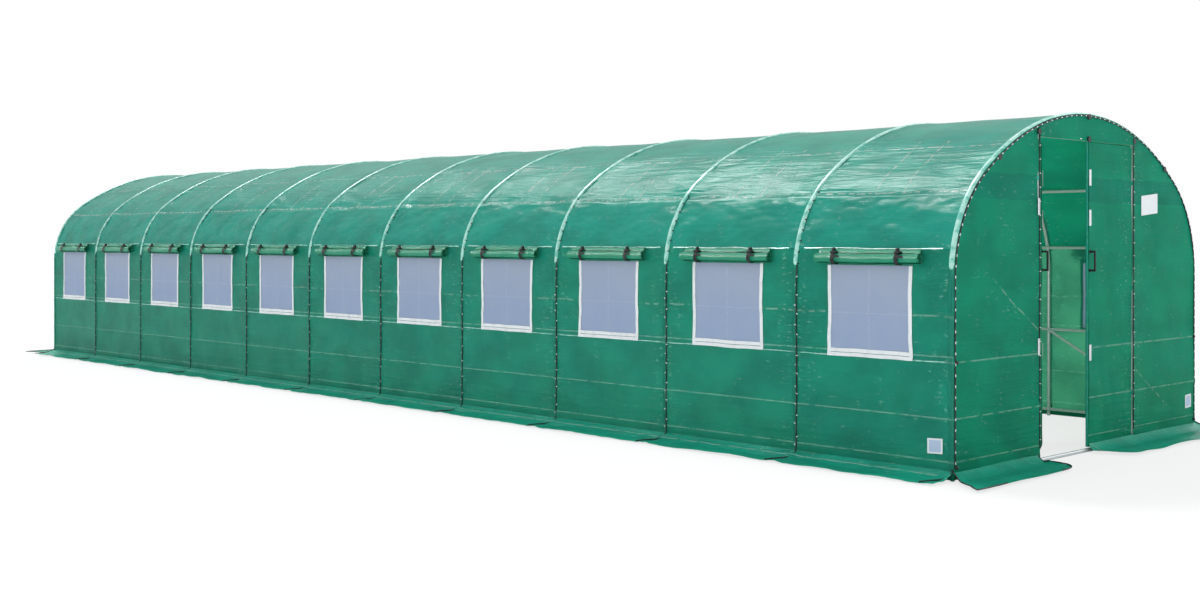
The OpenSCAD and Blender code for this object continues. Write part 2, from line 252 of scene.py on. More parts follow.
def waves(x, y, seed, *sizes):
    """A sum of noises, each given by its height and its sizes along x and y, with seeds that follow on."""
    return sum(height * noise(x / dx, y / dy, seed + n) for n, (height, dx, dy) in enumerate(sizes))


def bump_at(x, place, width):
    """1 at place, falling to nothing over width."""
    return np.exp(-(((x - place) / width) ** 2))


def half_round(v):
    """Height of a half circle: 1 where v is 0, and 0 where it is -1 or 1."""
    return np.sqrt(np.clip(1 - v ** 2, 0, 1))


def steps(stops, step):
    """Coordinates through all the stops, with no gap wider than step."""
    out = [stops[0]]
    for a, b in zip(stops, stops[1:]):
        n = max(1, math.ceil((b - a) / step - 1e-6))
        out += [a + (b - a) * (i + 1) / n for i in range(n)]
    return np.array(out)


def hoop_distance(y):
    """Distance along the tunnel from the nearest hoop."""
    part = (y - FRONT_Y) / BAY
    return np.abs(part - np.rint(part)) * BAY


def sag_between(y):
    """0 at a hoop and 1 in the middle of a bay."""
    return 1 - (1 - 2 * hoop_distance(y) / BAY) ** 2


# ---------------------------------------------------------------- the arch that the film follows

class Arch:
    """The hoops' outer face as a path from the left foot over the ridge to the right foot."""

    def __init__(self, sizes):
        self.leg, self.bend = sizes.leg, sizes.bend
        rise = RIDGE_Z - self.leg
        self.arm = HALF_W - self.bend
        self.crown = (self.arm ** 2 + rise ** 2 - self.bend ** 2) / (2 * (rise - self.bend))
        self.crown_z = RIDGE_Z - self.crown
        self.half = math.atan2(self.arm, self.crown - rise)      # half the crown's angle
        self.turn = math.pi / 2 - self.half                      # the shoulder's angle
        self.shoulder_end = self.leg + self.bend * self.turn
        self.length = 2 * (self.shoulder_end + self.crown * self.half)

    def angle_at(self, s):
        """Angle above +X of the outward normal, at a distance along the path."""
        s = np.asarray(s, float)
        mirror = s > self.length / 2
        t = np.where(mirror, self.length - s, s)
        on_bend = math.pi - np.clip(t - self.leg, 0, None) / self.bend
        on_crown = math.pi / 2 + self.half - (t - self.shoulder_end) / self.crown
        a = np.where(t <= self.leg, math.pi, np.where(t <= self.shoulder_end, on_bend, on_crown))
        return np.where(mirror, math.pi - a, a)

    def at(self, s, off):
        """x and z at a distance along the path, off outside it."""
        s = np.asarray(s, float)
        mirror = s > self.length / 2
        t = np.where(mirror, self.length - s, s)
        a = np.where(mirror, math.pi - self.angle_at(s), self.angle_at(s))
        x = np.where(t <= self.shoulder_end, -self.arm + (self.bend + off) * np.cos(a),
                     (self.crown + off) * np.cos(a))
        z = np.where(t <= self.leg, t, np.where(t <= self.shoulder_end,
                     self.leg + (self.bend + off) * np.sin(a),
                     self.crown_z + (self.crown + off) * np.sin(a)))
        return np.where(mirror, -x, x), z

    def s_at(self, z):
        """Distance along the left half of the path at a height."""
        if z <= self.leg:
            return z
        if z <= self.leg + self.bend * math.sin(self.turn):
            return self.leg + self.bend * math.asin((z - self.leg) / self.bend)
        return self.shoulder_end + self.crown * (math.asin((z - self.crown_z) / self.crown) - self.turn)

    def top_at(self, x, off):
        """Height of the arch above a place across the tunnel."""
        x = np.abs(np.asarray(x, float))
        seam_x = self.arm + (self.bend + off) * math.cos(self.turn)
        bend = self.leg + np.sqrt(np.clip((self.bend + off) ** 2 - (x - self.arm) ** 2, 0, None))
        crown = self.crown_z + np.sqrt(np.clip((self.crown + off) ** 2 - x ** 2, 0, None))
        return np.where(x > seam_x, bend, crown)


# ---------------------------------------------------------------- shaping pieces

def grid_sheet(name, across, along, place, cut=None):
    """A grid primitive with its lines at across and along, each point put where place says.

    Its UV map holds the flat coordinates in metres. Faces whose middle cut names are deleted.
    """
    deselect()
    bpy.ops.mesh.primitive_grid_add(x_subdivisions=len(across) - 1, y_subdivisions=len(along) - 1, size=1)
    piece = bpy.context.object
    piece.name = piece.data.name = name
    co = points_of(piece)
    a = across[np.rint((co[:, 0] + 0.5) * (len(across) - 1)).astype(int)]
    b = along[np.rint((co[:, 1] + 0.5) * (len(along) - 1)).astype(int)]
    put_points(piece, np.stack(place(a, b), axis=1))
    corner = np.empty(len(piece.data.loops), int)
    piece.data.loops.foreach_get("vertex_index", corner)
    flat = np.stack([a, b], axis=1)[corner]
    piece.data.uv_layers[0].data.foreach_set("uv", flat.ravel())
    if cut:
        bm = bmesh.new()
        bm.from_mesh(piece.data)
        gone = []
        for face in bm.faces:
            index = [v.index for v in face.verts]
            if cut(a[index].mean(), b[index].mean()):
                gone.append(face)
        bmesh.ops.delete(bm, geom=gone, context="FACES")
        bm.to_mesh(piece.data)
        bm.free()
    return piece


def finish_sheet(piece, material, body=TUNNEL, thickness=FILM_T):
    """Gives a sheet its thickness and material, and hangs it on its body."""
    apply_modifier(piece, "SOLIDIFY", thickness=thickness, offset=-1.0)
    smooth(piece)
    piece.data.materials.clear()
    piece.data.materials.append(material)
    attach(piece, body)
    return piece


def lay(piece, material, node=None, body=TUNNEL, thickness=FILM_T):
    """The sheet stands for a CAD node, where one is named.
    """
    finish_sheet(piece, material, body, thickness)
    if node:
        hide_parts(node)


def moved(piece, matrix):
    """Moves a piece's mesh by a matrix, and turns it the right way out after a mirror."""
    piece.data.transform(matrix)
    if matrix.determinant() < 0:
        piece.data.flip_normals()
    return piece


def map_upright(piece):
    """Gives an upright sheet a UV map of its heights and its places across the tunnel, in metres."""
    corner = np.empty(len(piece.data.loops), int)
    piece.data.loops.foreach_get("vertex_index", corner)
    piece.data.uv_layers[0].data.foreach_set("uv", points_of(piece)[corner][:, [2, 0]].ravel())
    return piece


def join(pieces, name):
    """Joins pieces into one and names it."""
    only(pieces[0])
    for piece in pieces:
        piece.select_set(True)
    if len(pieces) > 1:
        bpy.ops.object.join()
    pieces[0].name = pieces[0].data.name = name
    return pieces[0]


def set_origin(piece):
    """Applies place, turn and scale, so that the piece's object sits at the origin."""
    only(piece)
    bpy.ops.object.transform_apply(location=True, rotation=True, scale=True)
    return piece


def copies(piece, matrices, name):
    """Joined copies of a piece, each with its own mesh moved by a matrix; the first is replaced."""
    made = []
    for matrix in matrices:
        one = piece.copy()
        one.data = piece.data.copy()
        bpy.context.collection.objects.link(one)
        made.append(moved(one, matrix))
    bpy.data.objects.remove(piece)
    return join(made, name)


def dress(piece, material, body=TUNNEL, angle=40):
    """Gives a finished hard piece its material, slot and body."""
    smooth(piece, angle)
    piece.data.materials.clear()
    piece.data.materials.append(material)
    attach(piece, body)
    return piece


def tube(name, path, radius, sides=6):
    """A round tube along a path: a circle's outline swept ring by ring, with closed ends."""
    path = np.asarray(path, float)
    ahead = np.gradient(path, axis=0)
    ahead /= np.linalg.norm(ahead, axis=1)[:, None]
    ref = np.array([0.0, 1.0, 0.0]) if abs(ahead[:, 1]).max() < 0.9 else np.array([0.3, 0.2, 1.0])
    side = np.cross(ahead, ref)
    side /= np.linalg.norm(side, axis=1)[:, None]
    up = np.cross(side, ahead)
    turns = np.arange(sides) * 2 * math.pi / sides
    rings = (path[:, None, :] + radius * (np.cos(turns)[None, :, None] * side[:, None, :]
             + np.sin(turns)[None, :, None] * up[:, None, :]))
    verts = rings.reshape(-1, 3)
    faces = []
    for i in range(len(path) - 1):
        for j in range(sides):
            k = (j + 1) % sides
            faces.append((i * sides + j, (i + 1) * sides + j, (i + 1) * sides + k, i * sides + k))
    faces.append(tuple(range(sides)))
    faces.append(tuple(len(verts) - 1 - j for j in range(sides)))
    mesh = bpy.data.meshes.new(name)
    mesh.from_pydata(verts.tolist(), [], faces)
    piece = bpy.data.objects.new(name, mesh)
    bpy.context.collection.objects.link(piece)
    only(piece)
    bpy.ops.object.mode_set(mode="EDIT")
    bpy.ops.mesh.select_all(action="SELECT")
    bpy.ops.mesh.normals_make_consistent(inside=False)
    bpy.ops.object.mode_set(mode="OBJECT")
    return piece


def rounded_block(name, size, place, bevel, rounds=2):
    """A block with bevelled edges."""
    deselect()
    bpy.ops.mesh.primitive_cube_add(size=1, location=place)
    piece = bpy.context.object
    piece.name = name
    piece.scale = size
    set_origin(piece)
    apply_modifier(piece, "BEVEL", width=bevel, segments=rounds)
    return piece


# ---------------------------------------------------------------- materials

# Short names of nodes: the node, the inputs that are filled in order, its output and its settings.
KINDS = {
    "mix": ("Mix", (0, 6, 7), 2, {"data_type": "RGBA"}),
    "ramp": ("MapRange", (0, 1, 2), 0, {"interpolation_type": "SMOOTHSTEP"}),
    "noise": ("TexNoise", ("Vector", "Scale", "Detail"), "Fac", {}),
    "cells": ("TexVoronoi", ("Vector", "Scale"), "Color", {}),
    "bump": ("Bump", ("Height", "Strength", "Distance"), "Normal", {}),
    "place": ("TexCoord", (), "Object", {}),
}
WHITE = (1, 1, 1, 1)


def add_node(nodes, kind, *values, **settings):
    """Adds a shader node with its settings and gives its output.

    kind is a Math operation in capitals, a short name from KINDS, or a shader node's own name. The values
    fill its inputs in order: a socket is linked, anything else is set.
    """
    if kind.isupper():
        kind, settings = "Math", {"operation": kind}
    kind, inputs, out, preset = KINDS.get(kind, (kind, range(len(values)), 0, {}))
    node = nodes.new("ShaderNode" + kind)
    for key, value in {**preset, **settings}.items():
        setattr(node, key, value)
    for key, value in zip(inputs, values):
        if isinstance(value, bpy.types.NodeSocket):
            nodes.id_data.links.new(value, node.inputs[key])
        else:
            node.inputs[key].default_value = value
    return node.outputs[out]


def plug(node, sockets):
    """Links sockets to a node's inputs."""
    for key, socket in sockets.items():
        node.id_data.links.new(socket, node.inputs[key])


def new_material(name, colour, roughness, metallic=0.0, specular=0.5):
    """A material with one Principled shader. Gives it with the function that adds its nodes."""
    material = bpy.data.materials.new(name)
    material.use_nodes = True
    nodes = material.node_tree.nodes
    shader = nodes["Principled BSDF"]
    for key, value in (("Base Color", colour), ("Roughness", roughness), ("Metallic", metallic),
                       ("Specular IOR Level", specular)):
        shader.inputs[key].default_value = value
    return material, partial(add_node, nodes), shader


def let_through(material, add, part, light):
    """Mixes a second shader into the material, by a part from 0 to 1."""
    nodes = material.node_tree.nodes
    both = add("MixShader", part, nodes["Principled BSDF"].outputs[0], light)
    plug(nodes["Material Output"], {"Surface": both})


def darker(colour, share):
    """The colour, darker by a share."""
    return tuple(share * c for c in colour[:3]) + (1.0,)


def noise_at(add, coords, size, detail=3.0, stretch=(1, 1, 1)):
    """Noise with features about size metres across, stretched along its axes."""
    return add("noise", add("VectorMath", coords, stretch, operation="MULTIPLY"), 1 / size, detail)


def line_mask(add, value, spacing, width):
    """1 along parallel lines, spacing apart and about width wide, where value is a coordinate."""
    fold = add("PINGPONG", add("ADD", value, spacing * 40.5), spacing / 2)
    return add("ramp", add("SUBTRACT", spacing / 2, fold), width, width * 0.2)


def line_at(add, value, place, width):
    """1 along one line, where value is at place, falling to nothing at width."""
    return add("ramp", add("ABSOLUTE", add("SUBTRACT", value, place)), width, width * 0.3)


def flat_axes(add):
    """The piece's UV map, in metres on cloth, and its two axes."""
    flat = add("UVMap")
    return flat, add("SeparateXYZ", flat).node.outputs


def most(add, lines):
    """The greatest of several masks."""
    return reduce(partial(add, "MAXIMUM"), lines)


def film_material(name, colour, whitened, rough, gloss, glow, seams=(), folds=(), pair=0.0, through=0.5,
                  doubled=()):
    """Woven polyethylene film, laminated both sides: a waxy gloss over a fine tape weave, with whitening along its
    packing folds, pale welded seams and scuffs that are partly whitening and partly painted highlight, and letting
    daylight through, darker in a band of painted shade on the ends."""
    material, add, shader = new_material(name, colour, rough, specular=gloss)
    flat, (up, along, _) = flat_axes(add)
    # The tapes are 2.5 mm wide; the weave is drawn at 9 mm so that it shows.
    weave = add("ADD", line_mask(add, up, 0.009, 0.0032), line_mask(add, along, 0.009, 0.0032))
    wander = add("MULTIPLY_ADD", noise_at(add, flat, 0.25), 0.03, -0.015)
    level = add("ADD", up, wander)
    from_hoop = add("PINGPONG", add("ADD", along, 20 * BAY - FRONT_Y), BAY / 2)

    # Creases: level folds, a pair across each bay, and slanting ones beside the doorway.
    creases = [line_at(add, level, height, 0.0085) for height in folds]
    if pair:
        across = line_at(add, add("ADD", from_hoop, wander), BAY / 2 - pair, 0.008)
        between = add("MULTIPLY", add("ramp", level, folds[0], folds[0] + 0.02),
                      add("ramp", level, folds[1] + 0.1, folds[1] + 0.08))
        creases.append(add("MULTIPLY", across, between))
    if doubled:
        slant = add("MULTIPLY_ADD", along, 0.62, level)
        high = add("MULTIPLY", line_at(add, slant, 0.87, 0.008), add("ramp", along, 0.0, 0.1))
        out = add("ABSOLUTE", along)
        beside = add("MULTIPLY", add("ramp", out, POST_X, POST_X + 0.03), add("ramp", out, 1.15, 1.0))
        creases.append(add("MULTIPLY", most(add, [line_at(add, slant, 0.415, 0.008), high]), beside))
    broken = add("ramp", noise_at(add, flat, 0.04), 0.44, 0.56)
    crease = add("MULTIPLY", most(add, creases), broken) if creases else 0.0
    # Pale lines along the welded seams and the base pocket: partly whitening of the welds, partly painted
    # highlight on the raised seams.
    seam = 0.0
    if seams:
        patchy = add("ramp", noise_at(add, flat, 0.07), 0.3, 0.55)
        seam = add("MULTIPLY", most(add, [line_at(add, up, height, 0.007) for height in seams]), patchy)

    # Short pale marks, most of them where the film is bent round a hoop: partly real scuffs, partly painted glints
    # off the fine crinkles.
    near = add("ramp", from_hoop, 0.2, 0.02)
    where = add("ramp", add("MULTIPLY_ADD", near, 0.18, noise_at(add, flat, 0.12)), 0.5, 0.66)
    scuff_and_glint = add("ramp", noise_at(add, flat, 0.014, 3.0, (1, 0.35, 1)), 0.58, 0.68)
    scuff_and_glint = add("MULTIPLY", scuff_and_glint, where)
    uneven = add("ramp", noise_at(add, flat, 0.22, 4.0, (1, 0.6, 1)), 0.4, 0.62)
    body = add("mix", uneven, colour, darker(colour, 0.82))
    for mask, share, paint in ((weave, 0.035, whitened), (scuff_and_glint, 0.6, whitened), (seam, 0.8, whitened),
                               (crease, 0.85 if pair else 0.4, hexes("#d9f2e8"))):
        body = add("mix", add("MULTIPLY", mask, share), body, paint)

    pulls = noise_at(add, flat, 0.035, 2.0, (1, 0.09, 1))
    pulls = add("MULTIPLY", pulls, add("MULTIPLY_ADD", near, 1.0, 0.8))
    height = add("MULTIPLY_ADD", noise_at(add, flat, 0.016, 2.0, (1, 0.35, 1)), 0.18, pulls)
    if pair:
        # Between its two packing folds the roof is crinkled; below them it billows softly.
        crinkled = add("MULTIPLY", add("ramp", level, folds[0] - 0.05, folds[0] + 0.05),
                       add("ramp", level, folds[1] + 0.25, folds[1] + 0.05))
        height = add("MULTIPLY", height, add("MULTIPLY_ADD", crinkled, 0.75, 0.25))
        below = add("ramp", level, folds[0] + 0.02, folds[0] - 0.03)
        billow = add("MULTIPLY", noise_at(add, flat, 0.17, 2.0, (1, 0.55, 1)), below)
        height = add("MULTIPLY_ADD", billow, 4.0, height)
    for mask, rise in ((weave, 0.03), (seam, 0.35), (crease, 0.08)):
        height = add("MULTIPLY_ADD", mask, rise, height)
    plug(shader, {"Base Color": body, "Normal": add("bump", height, 0.6, 0.014)})

    tint = add("mix", add("ramp", noise_at(add, flat, 0.4), 0.35, 0.7), glow, darker(glow, 0.75))
    # Painted shade: on the ends, a darker band in the light that the film lets through, standing in for the shade
    # of the far side seen through it.
    if doubled:
        band = add("MULTIPLY", add("ramp", level, doubled[0], doubled[0] + 0.012),
                   add("ramp", level, doubled[1] + 0.012, doubled[1]))
        tint = add("mix", band, tint, darker(glow, 0.45))
    let_through(material, add, through, add("BsdfTranslucent", tint))
    return material


def plain_film(name, colour, roughness, second):
    """Film pulled tight over a tube: smooth, with a soft gloss; on the hoop sleeves its pale colour is a painted
    highlight along the film's bulge over the hoop.
    """
    material, add, shader = new_material(name, colour, roughness)
    tone = noise_at(add, add("place"), 0.05)
    body = add("mix", add("ramp", tone, 0.4, 0.65), colour, second)
    plug(shader, {"Base Color": body, "Normal": add("bump", tone, 0.3, 0.002)})
    return material


def mesh_cloth(name, colour, fold):
    """Knitted insect mesh: a dull grey-blue net that lets light through, folded once down and once
    across each window."""
    material, add, shader = new_material(name, colour, 0.7)
    flat, (up, along, _) = flat_axes(add)
    # The holes are 1 mm across; the net is drawn at 6 mm so that it shows.
    net = most(add, [line_mask(add, axis, 0.006, 0.0018) for axis in (up, along)])
    wander = add("MULTIPLY_ADD", noise_at(add, flat, 0.15), 0.016, -0.008)
    folds = most(add, [line_at(add, add("ADD", along, wander), 0.0, 0.006),
                       line_at(add, add("ADD", up, wander), fold, 0.005)])
    folds = add("MULTIPLY", folds, add("ramp", noise_at(add, flat, 0.05), 0.35, 0.6))
    drift = add("ramp", noise_at(add, flat, 0.2, 3.0, (0.5, 1, 1)), 0.35, 0.65)
    body = colour
    upper = add("ramp", up, fold - 0.15, fold + 0.3)
    for mask, share, code in ((drift, 0.45, "#b7c6de"), (upper, 0.5, "#c3c8d6"), (net, 0.14, "#d5deec"),
                              (folds, 0.45, "#dfe7f3")):
        body = add("mix", add("MULTIPLY", mask, share), body, hexes(code))
    height = add("MULTIPLY_ADD", net, 0.2, noise_at(add, flat, 0.04, 3.0, (0.5, 1, 1)))
    plug(shader, {"Base Color": body, "Normal": add("bump", height, 0.5, 0.006)})
    let_through(material, add, 0.3, add("BsdfTranslucent", hexes("#c3d2e2")))
    return material


def webbing(name, colour, roughness=0.75):
    """Woven webbing: a ribbed matt tape, a little dirtier in places."""
    material, add, shader = new_material(name, colour, roughness)
    place = add("place")
    axes = add("SeparateXYZ", place).node.outputs
    # Ribs 2 mm apart are drawn at 5 mm.
    ribs = add("ADD", line_mask(add, axes[1], 0.005, 0.0016), line_mask(add, axes[2], 0.005, 0.0016))
    dirt = add("ramp", noise_at(add, place, 0.06), 0.45, 0.75)
    body = add("mix", add("MULTIPLY", dirt, 0.18), colour, hexes("#8f9a97"))
    plug(shader, {"Base Color": body, "Normal": add("bump", ribs, 0.25, 0.001)})
    return material


def galvanised(name, colour):
    """Galvanised steel tube: dull bright zinc with a soft spangle and slightly rougher streaks."""
    material, add, shader = new_material(name, colour, 0.4, 0.35)
    place = add("place")
    grey = add("RGBToBW", add("cells", place, 1 / 0.012))
    body = add("mix", add("MULTIPLY", grey, 0.35), colour, hexes("#b7bcbf"))
    rough = add("MULTIPLY_ADD", noise_at(add, place, 0.08), 0.25, 0.26)
    plug(shader, {"Base Color": body, "Roughness": rough, "Normal": add("bump", grey, 0.06, 0.001)})
    return material


def moulded(name, colour):
    """Moulded black plastic: an even fine grain that dulls its gloss."""
    material, add, shader = new_material(name, colour, 0.45)
    place = add("place")
    grain = noise_at(add, place, 0.0025, 2.0)
    body = add("mix", add("MULTIPLY", noise_at(add, place, 0.03), 0.2), colour, hexes("#3a3e40"))
    plug(shader, {"Base Color": body, "Normal": add("bump", grain, 0.2, 0.0006)})
    return material


def sealed_patch(name, colour, border):
    """A bare heat-sealed patch: pale film with a white edge, read from its UV map's 0 to 1."""
    material, add, shader = new_material(name, colour, 0.4)
    flat, axes = flat_axes(add)
    edges = [add("MINIMUM", axis, add("SUBTRACT", 1.0, axis)) for axis in axes[:2]]
    body = add("mix", add("ramp", add("MINIMUM", *edges), 0.13, 0.1), colour, border)
    body = add("mix", add("MULTIPLY", noise_at(add, flat, 0.4), 0.12), body, hexes("#8fa3c0"))
    plug(shader, {"Base Color": body})
    return material


def finish(scene, name):
    """The material of this name, made the first time that it is asked for."""
    if name in bpy.data.materials:
        return bpy.data.materials[name]
    s = scene.tunnel_sizes
    c = {key: tuple(getattr(scene.tunnel_colours, key)) for key in TunnelColours.__annotations__}
    if not name.startswith("laminated"):
        make, *values = {
            "galvanised_steel": (galvanised, c["steel"]),
            "moulded_black_plastic": (moulded, c["plastic"]),
            "film_pocket": (plain_film, c["wall"], 0.35, hexes("#2fae92")),
            "stretched_film_sleeve": (plain_film, c["sleeve"], 0.25, hexes("#6cc3b0")),
            "knitted_insect_mesh": (mesh_cloth, c["screen"], s.fold_wall),
            "white_polyester_webbing": (webbing, c["webbing"]),
            "black_polyester_webbing": (webbing, c["strap"]),
            "black_lacing_cord": (webbing, c["strap"], 0.6),
            "bare_sealed_patch": (sealed_patch, c["label"], c["webbing"]),
            "bare_white_patch": (sealed_patch, c["webbing"], c["webbing"]),
        }[name]
        return make(name, *values)
    part = name.split("_")[-1]
    roof_folds = [Arch(s).s_at(z) for z in (s.fold_low, s.fold_high)]
    glow = {"roof": "roof_glow", "wall": "glow"}.get(part, "end_glow")
    rough, gloss, more = {
        "roof": (0.26, 0.36, {"folds": roof_folds, "pair": s.fold_pair}),
        "cover": (0.24, 0.5, {"through": 0.1}),
        "wall": (0.34, 0.22, {"seams": (s.seam_low, s.seam_mid, s.seam_mid + 0.03, s.pocket, 2 * s.pocket),
                              "folds": (s.fold_wall,)}),
        "end": (0.4, 0.06, {"seams": (s.seam_low, s.seam_mid, 2 * s.pocket), "doubled": END_SHADE_BAND}),
        "skirt": (0.32, 0.25, {"seams": (0.035,), "through": 0.25}),
    }[part]
    return film_material(name, c[part], c["fold"], rough, gloss, c[glow], **more)


def film(scene, part):
    """The film of the roof, covers, walls, ends or skirts."""
    return finish(scene, "laminated_film_" + part)


# ---------------------------------------------------------------- operators

class TunnelOperator(bpy.types.Operator):
    """What the operators share"""
    bl_options = {"REGISTER", "UNDO"}

    def execute(self, context):
        self.build(context.scene, context.scene.tunnel_sizes)
        return {"FINISHED"}


class TUNNEL_OT_frame(TunnelOperator):
    """Give the steel tubes, clamps and handles their finishes"""
    bl_idname = "tunnel.frame"
    bl_label = "Steel Frame"

    def build(self, scene, sizes):
        finishes = {"tube_steel": "galvanised_steel", "black_plastic": "moulded_black_plastic"}
        for part in frame["record"]["subparts"]:
            name = finishes.get(part["material_slot"])
            if part["node"] in ("left_door_frame", "right_door_frame"):
                name = "film_pocket"
            if name:
                materials = frame["nodes"][part["node"]].data.materials
                materials.clear()
                materials.append(finish(scene, name))


class TUNNEL_OT_roof(TunnelOperator):
    """Lay the roof film over the hoops, in three lengths that meet over a hoop"""
    bl_idname = "tunnel.roof"
    bl_label = "Roof Film"

    def build(self, scene, sizes):
        arch = Arch(sizes)
        eave = arch.s_at(EAVE_Z)
        across = steps([eave, arch.shoulder_end, arch.length / 2, arch.length - arch.shoulder_end,
                        arch.length - eave], FILM_STEP)
        ends = [FILM_FRONT, HOOPS_Y[4], HOOPS_Y[8], -FILM_FRONT]

        def place(s, y):
            half = np.minimum(s, arch.length - s)
            shoulder = bump_at(half, arch.shoulder_end - 0.15, 0.55)
            near = np.exp(-hoop_distance(y) / 0.24)
            fan = s + 0.35 * hoop_distance(y) * np.sign(noise(y / BAY, half * 0, sizes.seed + 3))
            pulls = (ridges(fan / 0.11, y / 0.75, sizes.seed) - 0.45) * (0.35 + 0.75 * near)
            slack = noise(s / 0.22, y / 0.6, sizes.seed + 1) * sag_between(y)
            fine = noise(s / 0.075, y / 0.2, sizes.seed + 2)
            lift = sizes.wrinkle * pulls * (0.35 + shoulder) + 0.01 * slack + 0.0022 * fine
            lift -= sizes.sag * sag_between(y)
            x, z = arch.at(s, FILM_OUT + 0.011 * np.tanh(lift / 0.011))
            return x, y, z

        for number, (y0, y1) in enumerate(zip(ends, ends[1:])):
            stops = [y0] + [y for y in HOOPS_Y if y0 < y < y1] + [y1]
            piece = grid_sheet(f"roof_film_{number + 1}", across, steps(stops, FILM_STEP), place)
            lay(piece, film(scene, "roof"), "roof_cover")


class TUNNEL_OT_walls(TunnelOperator):
    """Hang the long walls' film, with a window opening in each bay"""
    bl_idname = "tunnel.walls"
    bl_label = "Long Walls"

    def build(self, scene, sizes):
        arch = Arch(sizes)
        eave = arch.s_at(EAVE_Z)
        low, high = arch.s_at(SCREEN_LOW.z - 0.001), arch.s_at(SCREEN_HIGH.z + 0.001)
        half_window = window_half_width()
        stops = [0.006, sizes.pocket - 0.016, sizes.pocket, sizes.pocket + 0.016]
        for seam in (sizes.seam_low, sizes.seam_mid):
            stops += [seam - 0.008, seam, seam + 0.008]
        up = steps(sorted(stops + [low, high, eave]), FILM_STEP)
        cuts = [FILM_FRONT]
        for y, middle in zip(HOOPS_Y, MIDDLES_Y):
            cuts += [y, middle - half_window, middle + half_window]
        along = steps(cuts + [REAR_Y, -FILM_FRONT], FILM_STEP)

        def cut(s, y):
            middle = (y - FRONT_Y) / BAY % 1 - 0.5
            return low < s < high and abs(middle) * BAY < half_window

        for side, name in SIDES:
            def on_side(s, y):
                x, z = arch.at(s, FILM_OUT + wall_lift(sizes, s, y, side))
                return side * x, y, z

            piece = grid_sheet(name + "_wall_film", up[::side], along, on_side, cut)
            lay(piece, film(scene, "wall"), name + "_wall")


def wall_lift(sizes, s, y, side):
    """How far a long wall's film stands off its even surface."""
    seed = seed_of(sizes, "wall") + 10 * side
    near = np.exp(-hoop_distance(y) / 0.12)
    lift = 0.0045 * (ridges(s / 0.11, y / 0.5, seed) - 0.45) * (0.3 + near)
    lift += waves(s, y, seed + 1, (0.003, 0.35, 0.3), (0.0012, 0.06, 0.07))
    lift += 0.006 * np.exp(-s / 0.16) * ridges(y / 0.06, s / 0.3, seed + 3) * near
    lift -= 0.5 * sizes.sag * sag_between(y) * bump_at(s, 0.3, 0.3)
    for seam in (sizes.seam_low, sizes.seam_mid):
        lift += 0.0035 * bump_at(s, seam, 0.009)
    lift += 0.007 * bump_at(s, sizes.pocket * 1.5, 0.022)
    below = bump_at(s, sizes.seam_mid - 0.06, 0.035) * (hoop_distance(y) > BAY / 2 - window_half_width())
    lift += 0.004 * below * noise(y / 0.028, s / 0.1, seed + 4)
    return np.clip(lift, -0.01, 0.009)


def window_half_width():
    """Half the width of a window's opening, from the first and last screens' ends."""
    return BAY / 2 + FRONT_Y - SCREEN_LOW.y + 0.0003


def end_sheet(name, x0, x1, low, high, facing, seed, seams=(), y=FILM_FRONT):
    """A sheet on an end, from x0 to x1, with heights given by functions of x; facing is -1 in front."""
    width = abs(x1 - x0)
    n = max(6, math.ceil(width / FILM_STEP))
    u = np.linspace(0, 1, n + 1)
    across = x0 + (x1 - x0) * u
    up = np.linspace(0, 1, math.ceil((high(np.array([x1]))[0] - low) / FILM_STEP) + 1)

    def place(x, v):
        top = high(x)
        z = low + (top - low) * v
        lift = waves(x, z, seed, (0.004, 0.35, 0.4), (0.0015, 0.09, 0.12))
        lift += 0.002 * (ridges(x / 0.06 + z / 0.3, z / 0.5, seed + 2) - 0.4)
        for seam in seams:
            lift += 0.0025 * bump_at(z, seam, 0.012)
        return x, facing * (abs(y) + np.clip(lift, -0.008, 0.006)), z

    return map_upright(grid_sheet(name, across if facing < 0 else across[::-1], up, place))


class TUNNEL_OT_ends(TunnelOperator):
    """Stretch the front and rear films over the end hoops, with their gables"""
    bl_idname = "tunnel.ends"
    bl_label = "End Films"

    def build(self, scene, sizes):
        arch = Arch(sizes)

        def top(x):
            return arch.top_at(x, FILM_OUT)

        edge = HALF_W + FILM_OUT
        seams = (sizes.seam_low, sizes.seam_mid, sizes.pocket)
        for facing, end in ((-1, "front"), (1, "rear")):
            for side, hand in ((-1, "left"), (1, "right")):
                piece = self.panel(f"{end}_{hand}_panel_film", side * edge, side * POST_X, facing, top,
                                   seed_of(sizes, "panel") + side + 2 * facing, seams)
                lay(piece, film(scene, "end"),
                    f"{end}_{hand}_panel")
            gable = end_sheet(f"{end}_gable_film", -POST_X, POST_X, GABLE_Z, top, facing,
                              seed_of(sizes, "gable"))
            lay(gable, film(scene, "end"),
                f"{end}_gable")

    def panel(self, name, x_edge, x_post, facing, top, seed, seams):
        """A film from the leg to the post; its columns crowd towards the leg, where the arch is steep."""
        n = math.ceil(abs(x_edge - x_post) / FILM_STEP)
        u = np.linspace(0, 1, n + 1) ** 2
        columns = x_edge + (x_post - x_edge) * u
        columns = np.sort(columns) if facing < 0 else np.sort(columns)[::-1]
        rows = np.linspace(0.006, 1, math.ceil(2.0 / FILM_STEP) + 1)

        def place(x, v):
            z = top(x) * v
            lift = waves(x, z, seed, (0.004, 0.35, 0.4), (0.0012, 0.09, 0.12))
            lift += 0.0025 * (ridges(x / 0.5, z / 0.12 + x / 0.3, seed + 2) - 0.4)
            for seam in seams:
                lift += 0.006 * bump_at(z, seam, 0.011)
            return x, facing * (-FILM_FRONT + np.clip(lift, -0.008, 0.008)), z

        return map_upright(grid_sheet(name, columns, rows, place))


def open_leaf(piece):
    """Turns a piece drawn on the closed left leaf to where the leaf stands ajar."""
    put_points(piece, turn(points_of(piece), JOINTS["left_door_hinge"]["pos_m"], AJAR))


